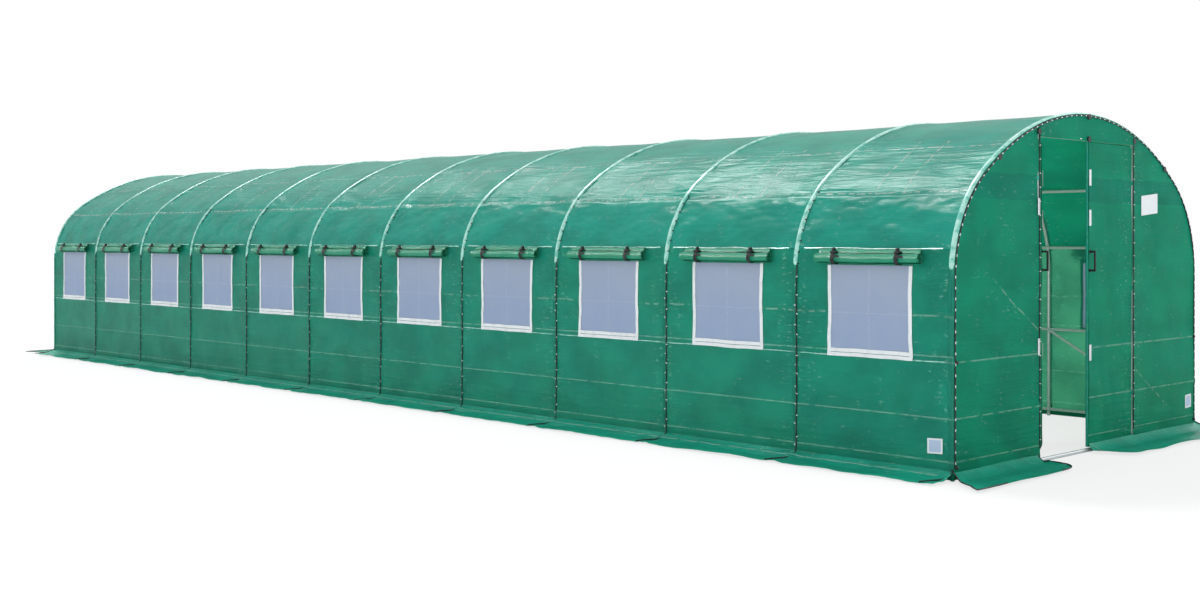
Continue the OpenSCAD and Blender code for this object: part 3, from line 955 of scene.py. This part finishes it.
class TUNNEL_OT_doors(TunnelOperator):
    """Stretch film over the door leaves"""
    bl_idname = "tunnel.doors"
    bl_label = "Door Films"

    def build(self, scene, sizes):
        low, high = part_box("right_door_film")

        def top(x):
            return np.full(np.shape(x), high.z)

        for name, side in (("right_door", 1), ("left_door", -1)):
            piece = end_sheet(name + "_skin", *sorted((side * low.x, side * high.x)), low.z, top, -1,
                              seed_of(sizes, "leaf") + side, (), low.y)
            if side < 0:
                open_leaf(piece)
            lay(piece, film(scene, "end"),
                name + "_film", name)
        leaves = [end_sheet(f"rear_leaf_{n}", *sorted((side * low.x, side * high.x)), low.z, top, 1,
                            seed_of(sizes, "rear_leaf") + n, (), low.y) for n, side in enumerate((-1, 1))]
        piece = join(leaves, "rear_door_skins")
        lay(piece, film(scene, "end"),
            "rear_door_films")


class TUNNEL_OT_skirts(TunnelOperator):
    """Spread the ground skirts along the sides and ends"""
    bl_idname = "tunnel.skirts"
    bl_label = "Ground Skirts"

    def build(self, scene, sizes):
        edge = HALF_W + FILM_OUT
        width = SKIRT_X - edge
        along = steps([FILM_FRONT, -FILM_FRONT], FILM_STEP)
        out = steps([0, width], 0.019)
        self.bindings = []

        def drape(u, y, seed):
            """Height of a skirt u out from the crease: it falls, then lies in low waves."""
            fall = 0.05 * np.clip(1 - u / 0.11, 0, 1) ** 1.8
            wave = (0.5 + 0.5 * noise(y / 0.22, u / 0.4, seed)) * 0.012 * np.clip(u / width, 0, 1)
            crumple = 0.003 * (1 + noise(y / 0.05, u / 0.05, seed + 1))
            tuck = 0.012 * bump_at(hoop_distance(y), 0.02, 0.02) * np.clip(u / 0.05, 0, 1)
            return 0.003 + fall + wave + crumple + tuck * 0.6

        for side, name in ((-1, "left_skirt"), (1, "right_skirt")):     # here a side is x's own sign
            seed = seed_of(sizes, "skirt") + side

            def place(u, y):
                wavy = u * (1 - 0.06 * (0.5 + 0.5 * noise(y / 0.3, 0 * y, seed + 2)))
                return side * (edge + wavy), y, drape(u, y, seed)

            self.lay(scene, grid_sheet(name + "_film", out[::side], along, place), name, -2 * FILM_FRONT)
        spans = (("front_left_skirt", -edge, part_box("front_left_skirt")[1].x, -1, "right"),
                 ("front_right_skirt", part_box("front_right_skirt")[0].x, edge, -1, "left"),
                 ("rear_skirt", -edge, edge, 1, ""))
        for name, x0, x1, facing, rounded in spans:
            self.lay(scene, self.end_skirt(name, x0, x1, facing, rounded, drape, sizes), name, x1 - x0)
        dress(join(self.bindings, "skirt_bindings"), finish(scene, "black_lacing_cord"))

    def end_skirt(self, name, x0, x1, facing, rounded, drape, sizes):
        """An end's skirt: flared at the tunnel's corners, rounded beside the doorway, and bound dark."""
        depth = SKIRT_Y - FILM_FRONT
        flare = SKIRT_X - HALF_W - FILM_OUT
        seed = seed_of(sizes, "end_skirt") + facing

        def place(x, u):
            part = u / abs(depth)
            reach = u.copy()
            if rounded:
                inner = (x1 - x) if rounded == "right" else (x - x0)
                near = np.clip(1 - inner / SKIRT_CORNER, 0, 1)
                reach = u * (1 - (1 - half_round(near)) * SKIRT_CORNER / abs(depth) * 1.4)
            spread = np.zeros_like(x)
            if rounded != "left":
                spread -= flare * part * bump_at(x, x0, 0.25)
            if rounded != "right":
                spread += flare * part * bump_at(x, x1, 0.25)
            wavy = reach * (1 - 0.05 * (0.5 + 0.5 * noise(x / 0.25, 0 * x, seed + 2)))
            z = drape(u, x * 0 + FRONT_Y + BAY / 2 + 0.03 * noise(x / 0.1, u / 0.2, seed), seed)
            z = z + 0.006 * part * (1 + noise(x / 0.2, u / 0.3, seed + 3))
            return x + spread, facing * (-FILM_FRONT + wavy), z

        columns = steps([x0, x1], FILM_STEP)
        rows = steps([0, abs(depth)], 0.02)
        for x, inward in ((x0, 1), (x1, -1)):
            if rounded == "left" and x == x0:
                continue
            back = x + inward * steps([0.02, 0.2], 0.02)
            edge = [np.concatenate(pair) for pair in zip(place(np.full(len(rows), x), rows),
                                                          place(back, np.full(len(back), rows[-1])))]
            self.bindings.append(tube("binding", np.stack(edge, axis=1) + (0, 0, 0.003), 0.004))
        return grid_sheet(name + "_film", columns[::facing], rows, place)

    def lay(self, scene, piece, node, length):
        """Gives a skirt its film, and hides the CAD node that it stands for."""
        lay(piece, film(scene, "skirt"), node, thickness=SKIRT_T)


class TUNNEL_OT_windows(TunnelOperator):
    """Sew the mesh screens and their white borders into the walls"""
    bl_idname = "tunnel.windows"
    bl_label = "Windows"

    def build(self, scene, sizes):
        arch = Arch(sizes)
        low, sill = SCREEN_LOW.z - 0.003, BORDER_LOW.z
        high = BORDER_HIGH.z + 0.006
        half_in = window_half_width()
        half_out = BAY / 2 + FRONT_Y - BORDER_LOW.y
        rise = steps([arch.s_at(low), arch.s_at(high)], 0.03)
        run = steps([-half_in - 0.006, 0, half_in + 0.006], 0.03)
        # Two upright bands and two level ones below the mesh: y from and to, z from and to.
        bands = ((-half_out, -half_in + 0.002, sill, high), (half_in - 0.002, half_out, sill, high),
                 (-half_out, half_out, sill - 0.004, sill + 0.017),
                 (-half_out, half_out, sill + 0.02, sill + 0.042))
        for side, name in SIDES:
            screens, borders = [], []
            for n, middle in enumerate(MIDDLES_Y):
                seed = seed_of(sizes, "window") + 3 * n + side

                def screen(s, y):
                    folds = 0.003 * noise(s / 0.12, y / 0.1, seed)
                    folds = folds + 0.003 * bump_at(y, 0.008 * np.sin(7 * s), 0.01)
                    folds += 0.002 * bump_at(s, sizes.fold_wall, 0.01) - 0.001
                    wall = FILM_OUT + wall_lift(sizes, s, y + middle, side)
                    x, z = arch.at(s, wall + 0.001 + np.maximum(folds, 0))
                    return side * x, y + middle, z

                def ribbon(s, y):
                    lift = FILM_OUT + 0.0045 + wall_lift(sizes, s, y + middle, side)
                    lift = lift + 0.001 * noise(y / 0.04, s / 0.04, seed + 2)
                    x, z = arch.at(s + 0.002 * noise(y / 0.09, s / 0.2, seed + 1), lift)
                    slack = np.sin(math.pi * (z - sill) / (high - sill))
                    bow = -0.005 * np.sign(y) * slack * (abs(y) > 0.2)
                    return side * x, y + middle + bow + 0.002 * noise(s / 0.07, y * 0, seed + 4), z

                screens.append(grid_sheet(f"screen_{n}", rise[::side], run, screen))
                for number, (y0, y1, z0, z1) in enumerate(bands):
                    up = steps([arch.s_at(z0), arch.s_at(z1)], 0.01 if number > 1 else 0.02)
                    wide = steps([y0, y1], 0.011 if number < 2 else 0.02)
                    borders.append(grid_sheet(f"border_{n}_{number}", up[::side], wide, ribbon))
            mesh = join(screens, name + "_window_screens")
            lay(mesh, finish(scene, "knitted_insect_mesh"),
                "window_screens", thickness=SCREEN_T)
            rims = join(borders, name + "_window_borders")
            finish_sheet(rims, finish(scene, "white_polyester_webbing"), thickness=TAPE_T)
            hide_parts("window_borders")


class TUNNEL_OT_rolls(TunnelOperator):
    """Roll up the window covers, and strap each below its header flap"""
    bl_idname = "tunnel.rolls"
    bl_label = "Rolled Covers"

    def build(self, scene, sizes):
        arch = Arch(sizes)
        low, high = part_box("window_rolls")
        radius = (high.z - low.z) / 2
        centre = Vector((low.x + radius, 0, (low.z + high.z) / 2))
        length = 2 * (BAY / 2 + FRONT_Y - low.y)
        self.covers(scene, sizes, centre, radius, length)
        self.flaps(scene, sizes, arch, centre, radius, length)
        self.straps(scene, centre)

    def spots(self, side):
        """The matrix that takes a piece drawn in the middle of the left side to each bay of a side."""
        flip = Matrix.Scale(side, 4, (1, 0, 0))
        return [flip @ Matrix.Translation((0, middle, 0)) for middle in MIDDLES_Y]

    def covers(self, scene, sizes, centre, radius, length):
        """Each cover is one sheet rolled into a loose spiral, and no two are quite alike."""
        sweep = steps([0, sizes.turns * 2 * math.pi], 0.23)
        along = steps([-length / 2, length / 2], 0.05)
        for side, name in SIDES:
            rolls = []
            for n, matrix in enumerate(self.spots(side)):
                seed = seed_of(sizes, "cover") + 5 * n + side

                def place(turn_by, y):
                    grow = turn_by / sweep[-1]
                    r = 0.009 + (radius - 0.0115) * grow
                    r = r + 0.0016 * noise(turn_by / 1.3, y / 0.1, seed) * grow
                    r = r + 0.0006 * noise(turn_by / 0.5, y / 0.03, seed + 1) * grow
                    droop = -0.003 * (1 - (2 * y / length) ** 2) + 0.002 * noise(y / 0.2, 0 * y, seed + 2)
                    a = 0.6 - turn_by
                    ends = y * (1 - 0.015 * noise(turn_by / 2, 0 * y, seed + 3))
                    return centre.x + r * np.cos(a), ends, centre.z + droop + 0.002 + r * np.sin(a)

                rolls.append(moved(grid_sheet(f"roll_{n}", sweep, along, place), matrix))
            lay(join(rolls, name + "_rolled_covers"), film(scene, "cover"),
                "window_rolls")

    def flaps(self, scene, sizes, arch, centre, radius, length):
        """The header that each cover is sewn to, from the eave down over the roll's top."""
        top = arch.s_at(EAVE_Z - 0.004)
        along = steps([-length / 2, length / 2], 0.03)
        for side, name in SIDES:
            flaps = []
            for n, matrix in enumerate(self.spots(side)):
                seed = seed_of(sizes, "flap") + 5 * n + side

                def place(v, y):
                    x0, z0 = arch.at(np.full(np.shape(v), top), FILM_OUT + 0.003)
                    x1 = centre.x + (radius + 0.001) * math.cos(FLAP_ANGLE)
                    z1 = centre.z + (radius + 0.001) * math.sin(FLAP_ANGLE)
                    wave = 0.002 * noise(y / 0.05, v * 2, seed)
                    bow = 0.006 * np.sin(math.pi * v)
                    return x0 + (x1 - x0) * v - bow, y * (0.95 + 0.02 * v), z0 + (z1 - z0) * v + bow + wave

                flaps.append(moved(grid_sheet(f"flap_{n}", np.linspace(1, 0, 5), along, place), matrix))
            lay(join(flaps, name + "_header_flaps"), film(scene, "cover"))

    def straps(self, scene, centre):
        """Webbing loops round each roll, with a ladder buckle on top and a short tail."""
        low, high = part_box("roll_straps")
        outer = (high.z - low.z) / 2
        reach = BAY / 2 + FRONT_Y - low.y - 0.0125
        for side, name in SIDES:
            places = [spot @ Matrix.Translation((0, way * reach, 0))
                      for spot in self.spots(side) for way in (-1, 1)]
            loops = copies(self.loop(centre, outer), places, name + "_roll_straps")
            dress(loops, finish(scene, "black_polyester_webbing"))
            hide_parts("roll_straps")
            dress(copies(self.buckle(centre, outer), places, name + "_strap_buckles"),
                  finish(scene, "moulded_black_plastic"))

    def loop(self, centre, outer):
        """One strap: an oval band, drawn up at the top where it hangs from the header."""
        deselect()
        bpy.ops.mesh.primitive_cylinder_add(vertices=32, radius=outer - 0.001, depth=0.025, location=centre,
                                            end_fill_type="NOTHING", rotation=(math.pi / 2, 0, 0))
        band = set_origin(bpy.context.object)
        co = points_of(band)
        up = np.clip((co[:, 2] - centre.z) / outer, 0, 1)
        co[:, 2] += 0.006 * up ** 6
        put_points(band, co)
        apply_modifier(band, "SOLIDIFY", thickness=0.0018, offset=0.0)
        return band

    def buckle(self, centre, outer):
        """A ladder buckle lying on the strap, with a bar standing at each end."""
        x, z = centre.x - 0.012, centre.z + outer + 0.001
        plate = rounded_block("buckle", (0.026, 0.034, 0.007), (x, 0, z), 0.002)
        bars = [rounded_block("bar", (0.005, 0.036, 0.011), (x + dx, 0, z + 0.001), 0.0015)
                for dx in (-0.011, 0, 0.011)]
        tail = rounded_block("tail", (0.004, 0.045, 0.013), (x - 0.024, -0.03, z - 0.024), 0.001)
        knob = rounded_block("knob", (0.022, 0.02, 0.022), (x + 0.016, 0.012, z + 0.014), 0.006, 3)
        return join([plate] + bars + [tail, knob], "buckle")


class TUNNEL_OT_lacing(TunnelOperator):
    """Run film sleeves over the hoops, and lace the film to them with cord and clips"""
    bl_idname = "tunnel.lacing"
    bl_label = "Hoop Sleeves and Lacing"

    def build(self, scene, sizes):
        arch = Arch(sizes)
        # The sleeve film's pale colour is a painted highlight along each hoop's bulge; the welts are dressed in
        # the same film.
        over, cord = finish(scene, "stretched_film_sleeve"), finish(scene, "black_lacing_cord")
        end = arch.s_at(sizes.sleeve_end)
        sleeves = [self.sleeve(arch, sizes, end, y, n) for n, y in enumerate(HOOPS_Y)]
        dress(join(sleeves, "hoop_sleeves"), over)
        ribs, cords, clips = [], [], []
        for n, y in enumerate(HOOPS_Y):
            for side in (1, -1):
                ribs.append(self.rib(arch, sizes, end, side, y))
                path = self.tail_path(arch, end, side, y)
                if n in (0, BAYS):      # an end hoop is laced along its rim, and has only the cord's tail
                    path = path[-TAIL_POINTS:]
                else:
                    clips += self.clip_places(arch, sizes, 0.09, end, side, y)
                cords.append(tube("cord", path, sizes.cord / 2))
        dress(join(ribs, "leg_sleeves"), film(scene, "wall"))
        dress(join(cords, "leg_lacing"), cord)
        self.welts(arch, sizes, over)
        rim = [self.rim_path(arch, facing) for facing in (-1, 1)]
        dress(join([tube("rim", path, 0.0042) for path in rim], "end_rim_lacing"), cord)
        self.ties(arch, sizes, cord)
        block = rounded_block("clip", (0.005, 0.015, 0.006), (0, 0, 0), 0.001, 1)
        for facing in (-1, 1):
            clips += self.rim_places(arch, sizes, facing)
        white = finish(scene, "white_polyester_webbing")
        dress(copies(block, clips, "lacing_clips"), white)

    def ties(self, arch, sizes, material):
        """Short black ties beside each bright sleeve, from its foot up over the shoulder."""
        places = []
        from_s, to_s = arch.s_at(sizes.sleeve_end) + 0.03, arch.s_at(TIES_END)
        for n, y in enumerate(HOOPS_Y[1:-1]):
            for side in (1, -1):
                for s in np.arange(from_s, to_s, sizes.clip_gap * 1.15):
                    uneven = float(noise(s / 0.05, n * 0.7, seed_of(sizes, "tie")))
                    x, z = arch.at(s, FILM_OUT + 0.004)
                    turn_up = Matrix.Rotation(side * (math.pi - float(arch.angle_at(s))), 4, "Y")
                    shift = Matrix.Translation((side * float(x), y - sizes.sleeve / 2 - 0.003, float(z)))
                    places.append(shift @ turn_up @ Matrix.Rotation(0.5 * uneven, 4, "X"))
        block = rounded_block("tie", (0.006, 0.013, 0.007), (0, 0, 0), 0.001, 1)
        dress(copies(block, places, "sleeve_ties"), material)

    def sleeve(self, arch, sizes, end, y, number):
        """A half-round film sleeve over one hoop, stopping just below the eaves."""
        s = steps([end, arch.length - end], 0.03)
        across = np.linspace(-1, 1, 9)

        def place(along, v):
            taper = np.clip(np.minimum(along - end, arch.length - end - along) / 0.05, 0.25, 1)
            pucker = 1 + 0.12 * noise(along / 0.05, v, seed_of(sizes, "sleeve") + number)
            lift = 0.0095 * half_round(v) * pucker * taper
            x, z = arch.at(along, FILM_OUT - 0.0015 + lift)
            return x, y + v * sizes.sleeve / 2 * (0.9 + 0.1 * pucker), z

        piece = grid_sheet(f"sleeve_{number}", s, across, place)
        apply_modifier(piece, "SOLIDIFY", thickness=0.001, offset=-1.0)
        return piece

    def rib(self, arch, sizes, end, side, y):
        """The wall film's pocket over one leg, from the ground up to the bright sleeve."""
        s = steps([0.02, end + 0.01], 0.05)
        across = np.linspace(-1, 1, 7)

        def place(along, v):
            lift = 0.008 * half_round(v) * (1 + 0.15 * noise(along / 0.06, v, seed_of(sizes, "rib")))
            x, z = arch.at(along, FILM_OUT + 0.0005 + lift)
            return side * x, y + v * sizes.sleeve / 2, z

        return grid_sheet("rib", s[::side], across, place)

    def welts(self, arch, sizes, material):
        """Pale welded welts: along the eaves between the hoops, and beside each window's foot."""
        eave, foot = arch.s_at(EAVE_Z), sizes.seam_mid
        edge = window_half_width() + 0.03
        header = BAY / 2 + FRONT_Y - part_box("window_rolls")[0].y - 0.02
        made = []
        # Each welt's place on the arch, its two ends in the bay, and its radius.
        spans = [(eave, 0.06, BAY / 2 - header, 0.0042), (eave, BAY / 2 + header, BAY - 0.06, 0.0042),
                 (eave, BAY / 2 - header, BAY / 2 + header, 0.0024),
                 (foot, 0.04, BAY / 2 - edge, 0.0032), (foot, BAY / 2 + edge, BAY - 0.05, 0.0032)]
        for n, y0 in enumerate(HOOPS_Y[:-1]):
            for side in (1, -1):
                for number, (s, a, b, thick) in enumerate(spans):
                    y = steps([y0 + a, y0 + b], 0.04)
                    lift = FILM_OUT + 0.001 + (wall_lift(sizes, y * 0 + s, y, side) if s == foot else 0.002)
                    x, z = arch.at(y * 0 + s, lift)
                    z = z + 0.003 * noise(y / 0.12, y * 0 + number, seed_of(sizes, "welt") + n)
                    made.append(tube("welt", np.stack([side * x, y, z], axis=1), thick))
        dress(join(made, "wall_welts"), material)

    def tail_path(self, arch, end, side, y):
        """Down the leg from the sleeve, then out over the skirt to its edge."""
        down = np.arange(end + 0.02, 0.06, -0.05)
        x, z = arch.at(down, FILM_OUT + 0.0055)
        points = [(side * a, y - 0.015 + 0.002 * math.sin(9 * b), b) for a, b in zip(x, z)]
        edge = HALF_W + FILM_OUT
        for out, height in ((0.01, 0.05), (0.024, 0.034), (0.05, 0.024), (0.09, 0.019), (0.14, 0.019),
                            (SKIRT_X - edge - 0.012, 0.015)):
            points.append((-side * (edge + out), y - 0.015 + 0.25 * out + out ** 2, height))
        return points

    def clip_places(self, arch, sizes, low, high, side, y):
        """Matrices for the clips up one leg, at slightly uneven heights beside the cord."""
        out = []
        for n, s in enumerate(np.arange(low, high, sizes.clip_gap)):
            uneven = float(noise(s / 0.05, y, seed_of(sizes, "clip")))
            x, z = arch.at(s + 0.012 * uneven, FILM_OUT + 0.006)
            shift = Matrix.Translation((side * float(x), y - 0.011 + 0.007 * (-1) ** n, float(z)))
            out.append(shift @ Matrix.Rotation(0.5 * uneven, 4, "X"))
        return out

    def rim_path(self, arch, facing):
        """Round an end's arch, just outside the end film."""
        s = steps([0.07, arch.length - 0.07], 0.045)
        x, z = arch.at(s, FILM_OUT - 0.012)
        return np.stack([x, np.full(len(s), facing * (-FILM_FRONT + 0.004)), z], axis=1)

    def rim_places(self, arch, sizes, facing):
        """Matrices for the clips round an end's arch."""
        out = []
        for s in np.arange(0.1, arch.length - 0.1, sizes.clip_gap):
            x, z = arch.at(s, FILM_OUT - 0.012)
            tilt = Matrix.Rotation(math.pi / 2 - float(arch.angle_at(s)), 4, "Y")
            spin = Matrix.Rotation(math.pi / 2, 4, "Z")
            place = Matrix.Translation((float(x), facing * (-FILM_FRONT + 0.006), float(z)))
            out.append(place @ tilt @ spin)
        return out


class TUNNEL_OT_closures(TunnelOperator):
    """Sew the white closure tapes, lacing and bare patches on the ends"""
    bl_idname = "tunnel.closures"
    bl_label = "Closures and Patches"

    def build(self, scene, sizes):
        face = FILM_FRONT - 0.004                 # just proud of the end films
        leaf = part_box("right_door_film")[0]
        leaf_face = leaf.y - 0.0055               # just proud of the leaves' films, bulges and all
        for name, x, y, heights, body in (
                ("panel_tapes", -POST_X - 0.014, face, (1.52, 0.69), TUNNEL),
                ("right_door_tapes", leaf.x + 0.014, leaf_face, (1.71, 1.46, 0.62), "right_door"),
                ("left_door_tapes", -leaf.x - 0.014, leaf_face, (1.71, 1.46, 0.62), "left_door")):
            tapes = join([self.tape("tape", x, z, y) for z in heights], name)
            if body == "left_door":
                open_leaf(tapes)
            dress(tapes, finish(scene, "white_polyester_webbing"), body)
        wall_x = -HALF_W - FILM_OUT - 0.005
        corner = HALF_W - 0.06
        for name, material, start, end, height in (
                ("low_patch", "bare_sealed_patch", (wall_x, FRONT_Y + 0.15, 0.14),
                 (wall_x, FRONT_Y + 0.05, 0.145), 0.085),
                ("corner_patch", "bare_sealed_patch", (corner - 0.09, face, 0.16),
                 (corner, face, 0.165), 0.09),
                ("panel_patch", "bare_white_patch", (0.7, face, 1.48), (0.93, face, 1.5), 0.13)):
            dress(self.patch(name, start, end, height), finish(scene, material))
        self.trims(scene, sizes, face)

    def trims(self, scene, sizes, face):
        """The cords down the door posts with their white ticks, and the ball ties near the corners."""
        cords, ticks, balls = [], [], []
        for facing in (1, -1):
            for side in (-1, 1):
                x = side * (POST_X + 0.006)
                z = steps([0.09, GABLE_Z + 0.02], 0.04)
                path = np.stack([x + 0.002 * noise(z / 0.09, z * 0, seed_of(sizes, "post") + side),
                                 z * 0 + facing * (face + 0.001), z], axis=1)
                cords.append(tube("cord", path, 0.0036))
                for n, up in enumerate(np.arange(0.14, GABLE_Z, 0.083)):
                    place = Matrix.Translation((x, facing * (face - 0.003), float(up)))
                    ticks.append(place @ Matrix.Rotation(0.35 * math.sin(5 * n), 4, "Y"))
                for up in (0.075, sizes.seam_mid):
                    deselect()
                    place = (side * (HALF_W - 0.02), facing * (face - 0.002), up)
                    bpy.ops.mesh.primitive_uv_sphere_add(segments=16, ring_count=10, radius=0.011,
                                                         location=place)
                    balls.append(set_origin(bpy.context.object))
        dress(join(cords, "post_lacing"), finish(scene, "black_lacing_cord"))
        block = rounded_block("tick", (0.013, 0.004, 0.005), (0, 0, 0), 0.001, 1)
        dress(copies(block, ticks, "post_ticks"), finish(scene, "white_polyester_webbing"))
        dress(join(balls, "corner_ball_ties"), finish(scene, "moulded_black_plastic"))

    def tape(self, name, x, z, y):
        """A short upright closure tape with rounded edges."""
        piece = rounded_block(name, (0.026, 0.0025, 0.1), (x, y, z), 0.001)
        apply_modifier(piece, "SUBSURF", levels=1, render_levels=1, subdivision_type="SIMPLE")
        return piece

    def patch(self, name, start, end, height):
        """A thin flat patch standing on the line from start to end, with a UV map from 0 to 1."""
        a, b = np.array(start), np.array(end)

        def place(u, v):
            p = a[None] + (b - a)[None] * u[:, None] + np.array([0, 0, height])[None] * v[:, None]
            return p[:, 0], p[:, 1], p[:, 2]

        piece = grid_sheet(name, np.linspace(0, 1, 7), np.linspace(0, 1, 7), place)
        apply_modifier(piece, "SOLIDIFY", thickness=0.001, offset=0.0)
        return piece


class TUNNEL_OT_stage(TunnelOperator):
    """Set the floor, the light and the camera"""
    bl_idname = "tunnel.stage"
    bl_label = "Stage"

    def build(self, scene, sizes):
        scene.view_settings.view_transform = "Standard"
        self.floor()
        self.world(scene)
        self.sun("high_light", (0.1, 0.6, 0.79), 16, 2.0)
        self.sun("side_light", (0.85, -0.1, 0.5), 40, 0.6)
        self.doorway_light()
        deselect()
        bpy.ops.object.camera_add(location=(-8.09, FRONT_Y - 4.32, 1.33))
        camera = bpy.context.object
        ahead = Vector((0.708, 0.706, -0.001))
        camera.rotation_euler = ahead.to_track_quat("-Z", "Y").to_euler()
        camera.data.lens = 42.3
        camera.data.sensor_width = 36
        camera.data.shift_x = -0.05
        camera.data.shift_y = -0.05
        camera.data.clip_end = 200
        scene.camera = camera

    def floor(self):
        """A wide white floor that keeps a faint soft shadow of the tunnel."""
        deselect()
        bpy.ops.mesh.primitive_plane_add(size=400, location=(0, 0, -0.0005))
        plane = bpy.context.object
        plane.name = "floor"
        material, add, _ = new_material("white_studio_floor", hexes("#f6f7f7"), 0.9, specular=0.0)
        seen = add("MULTIPLY", add("LightPath").node.outputs["Is Camera Ray"], 0.75)
        let_through(material, add, seen, add("Emission", WHITE, 1.0))
        plane.data.materials.append(material)

    def world(self, scene):
        """An even pale light, seen as plain white behind the tunnel."""
        world = bpy.data.worlds.new("pale_studio")
        scene.world = world
        world.use_nodes = True
        nodes = world.node_tree.nodes
        add = partial(add_node, nodes)
        light = nodes["Background"]
        light.inputs["Color"].default_value = hexes("#f2f6fa")
        light.inputs["Strength"].default_value = 0.8
        rays = add("LightPath").node.outputs
        seen = most(add, [rays[f"Is {kind} Ray"] for kind in ("Camera", "Glossy", "Transmission")])
        both = add("MixShader", seen, light.outputs[0], add("Background", WHITE, 1.0))
        plug(nodes["World Output"], {"Surface": both})

    def doorway_light(self):
        """A soft light in the doorway that shows the tubes inside in their own colour."""
        deselect()
        bpy.ops.object.light_add(type="AREA", location=(-0.2, FRONT_Y + 0.5, 1.15))
        lamp = bpy.context.object
        lamp.name = "doorway_light"
        lamp.data.shape = "RECTANGLE"
        lamp.data.size, lamp.data.size_y = 0.5, 1.4
        lamp.data.energy = 12
        lamp.visible_camera = False
        lamp.rotation_euler = Vector((-0.45, -0.9, 0.0)).to_track_quat("Z", "Y").to_euler()

    def sun(self, name, towards, angle, power):
        """A broad soft light from a direction, even over the whole floor."""
        deselect()
        bpy.ops.object.light_add(type="SUN", location=Vector(towards) * 12)
        lamp = bpy.context.object
        lamp.name = name
        lamp.data.energy = power
        lamp.data.angle = math.radians(angle)
        lamp.rotation_euler = Vector(towards).to_track_quat("Z", "Y").to_euler()


OPERATORS = (TUNNEL_OT_stage, TUNNEL_OT_frame, TUNNEL_OT_roof, TUNNEL_OT_walls, TUNNEL_OT_ends,
             TUNNEL_OT_doors, TUNNEL_OT_skirts, TUNNEL_OT_windows, TUNNEL_OT_rolls, TUNNEL_OT_lacing,
             TUNNEL_OT_closures)


class TUNNEL_PT_sidebar(bpy.types.Panel):
    """The sidebar panel that lists the steps"""
    bl_label = "Polytunnel"
    bl_idname = "TUNNEL_PT_sidebar"
    bl_space_type = "VIEW_3D"
    bl_region_type = "UI"
    bl_category = "Polytunnel"

    def draw(self, context):
        for group in (context.scene.tunnel_sizes, context.scene.tunnel_colours):
            box = self.layout.box()
            for name in group.__annotations__:
                box.prop(group, name)
        for operator in OPERATORS:
            self.layout.operator(operator.bl_idname)


CLASSES = (TunnelSizes, TunnelColours) + OPERATORS + (TUNNEL_PT_sidebar,)


def register():
    """Registers the classes and the settings."""
    for cls in CLASSES:
        bpy.utils.register_class(cls)
    bpy.types.Scene.tunnel_sizes = PointerProperty(type=TunnelSizes)
    bpy.types.Scene.tunnel_colours = PointerProperty(type=TunnelColours)


def unregister():
    """Removes the settings and the classes."""
    del bpy.types.Scene.tunnel_colours
    del bpy.types.Scene.tunnel_sizes
    for cls in reversed(CLASSES):
        bpy.utils.unregister_class(cls)


def main():
    """Builds every piece in order."""
    register()
    for operator in OPERATORS:
        group, name = operator.bl_idname.split(".")
        getattr(getattr(bpy.ops, group), name)()


if __name__ == "__main__":
    main()
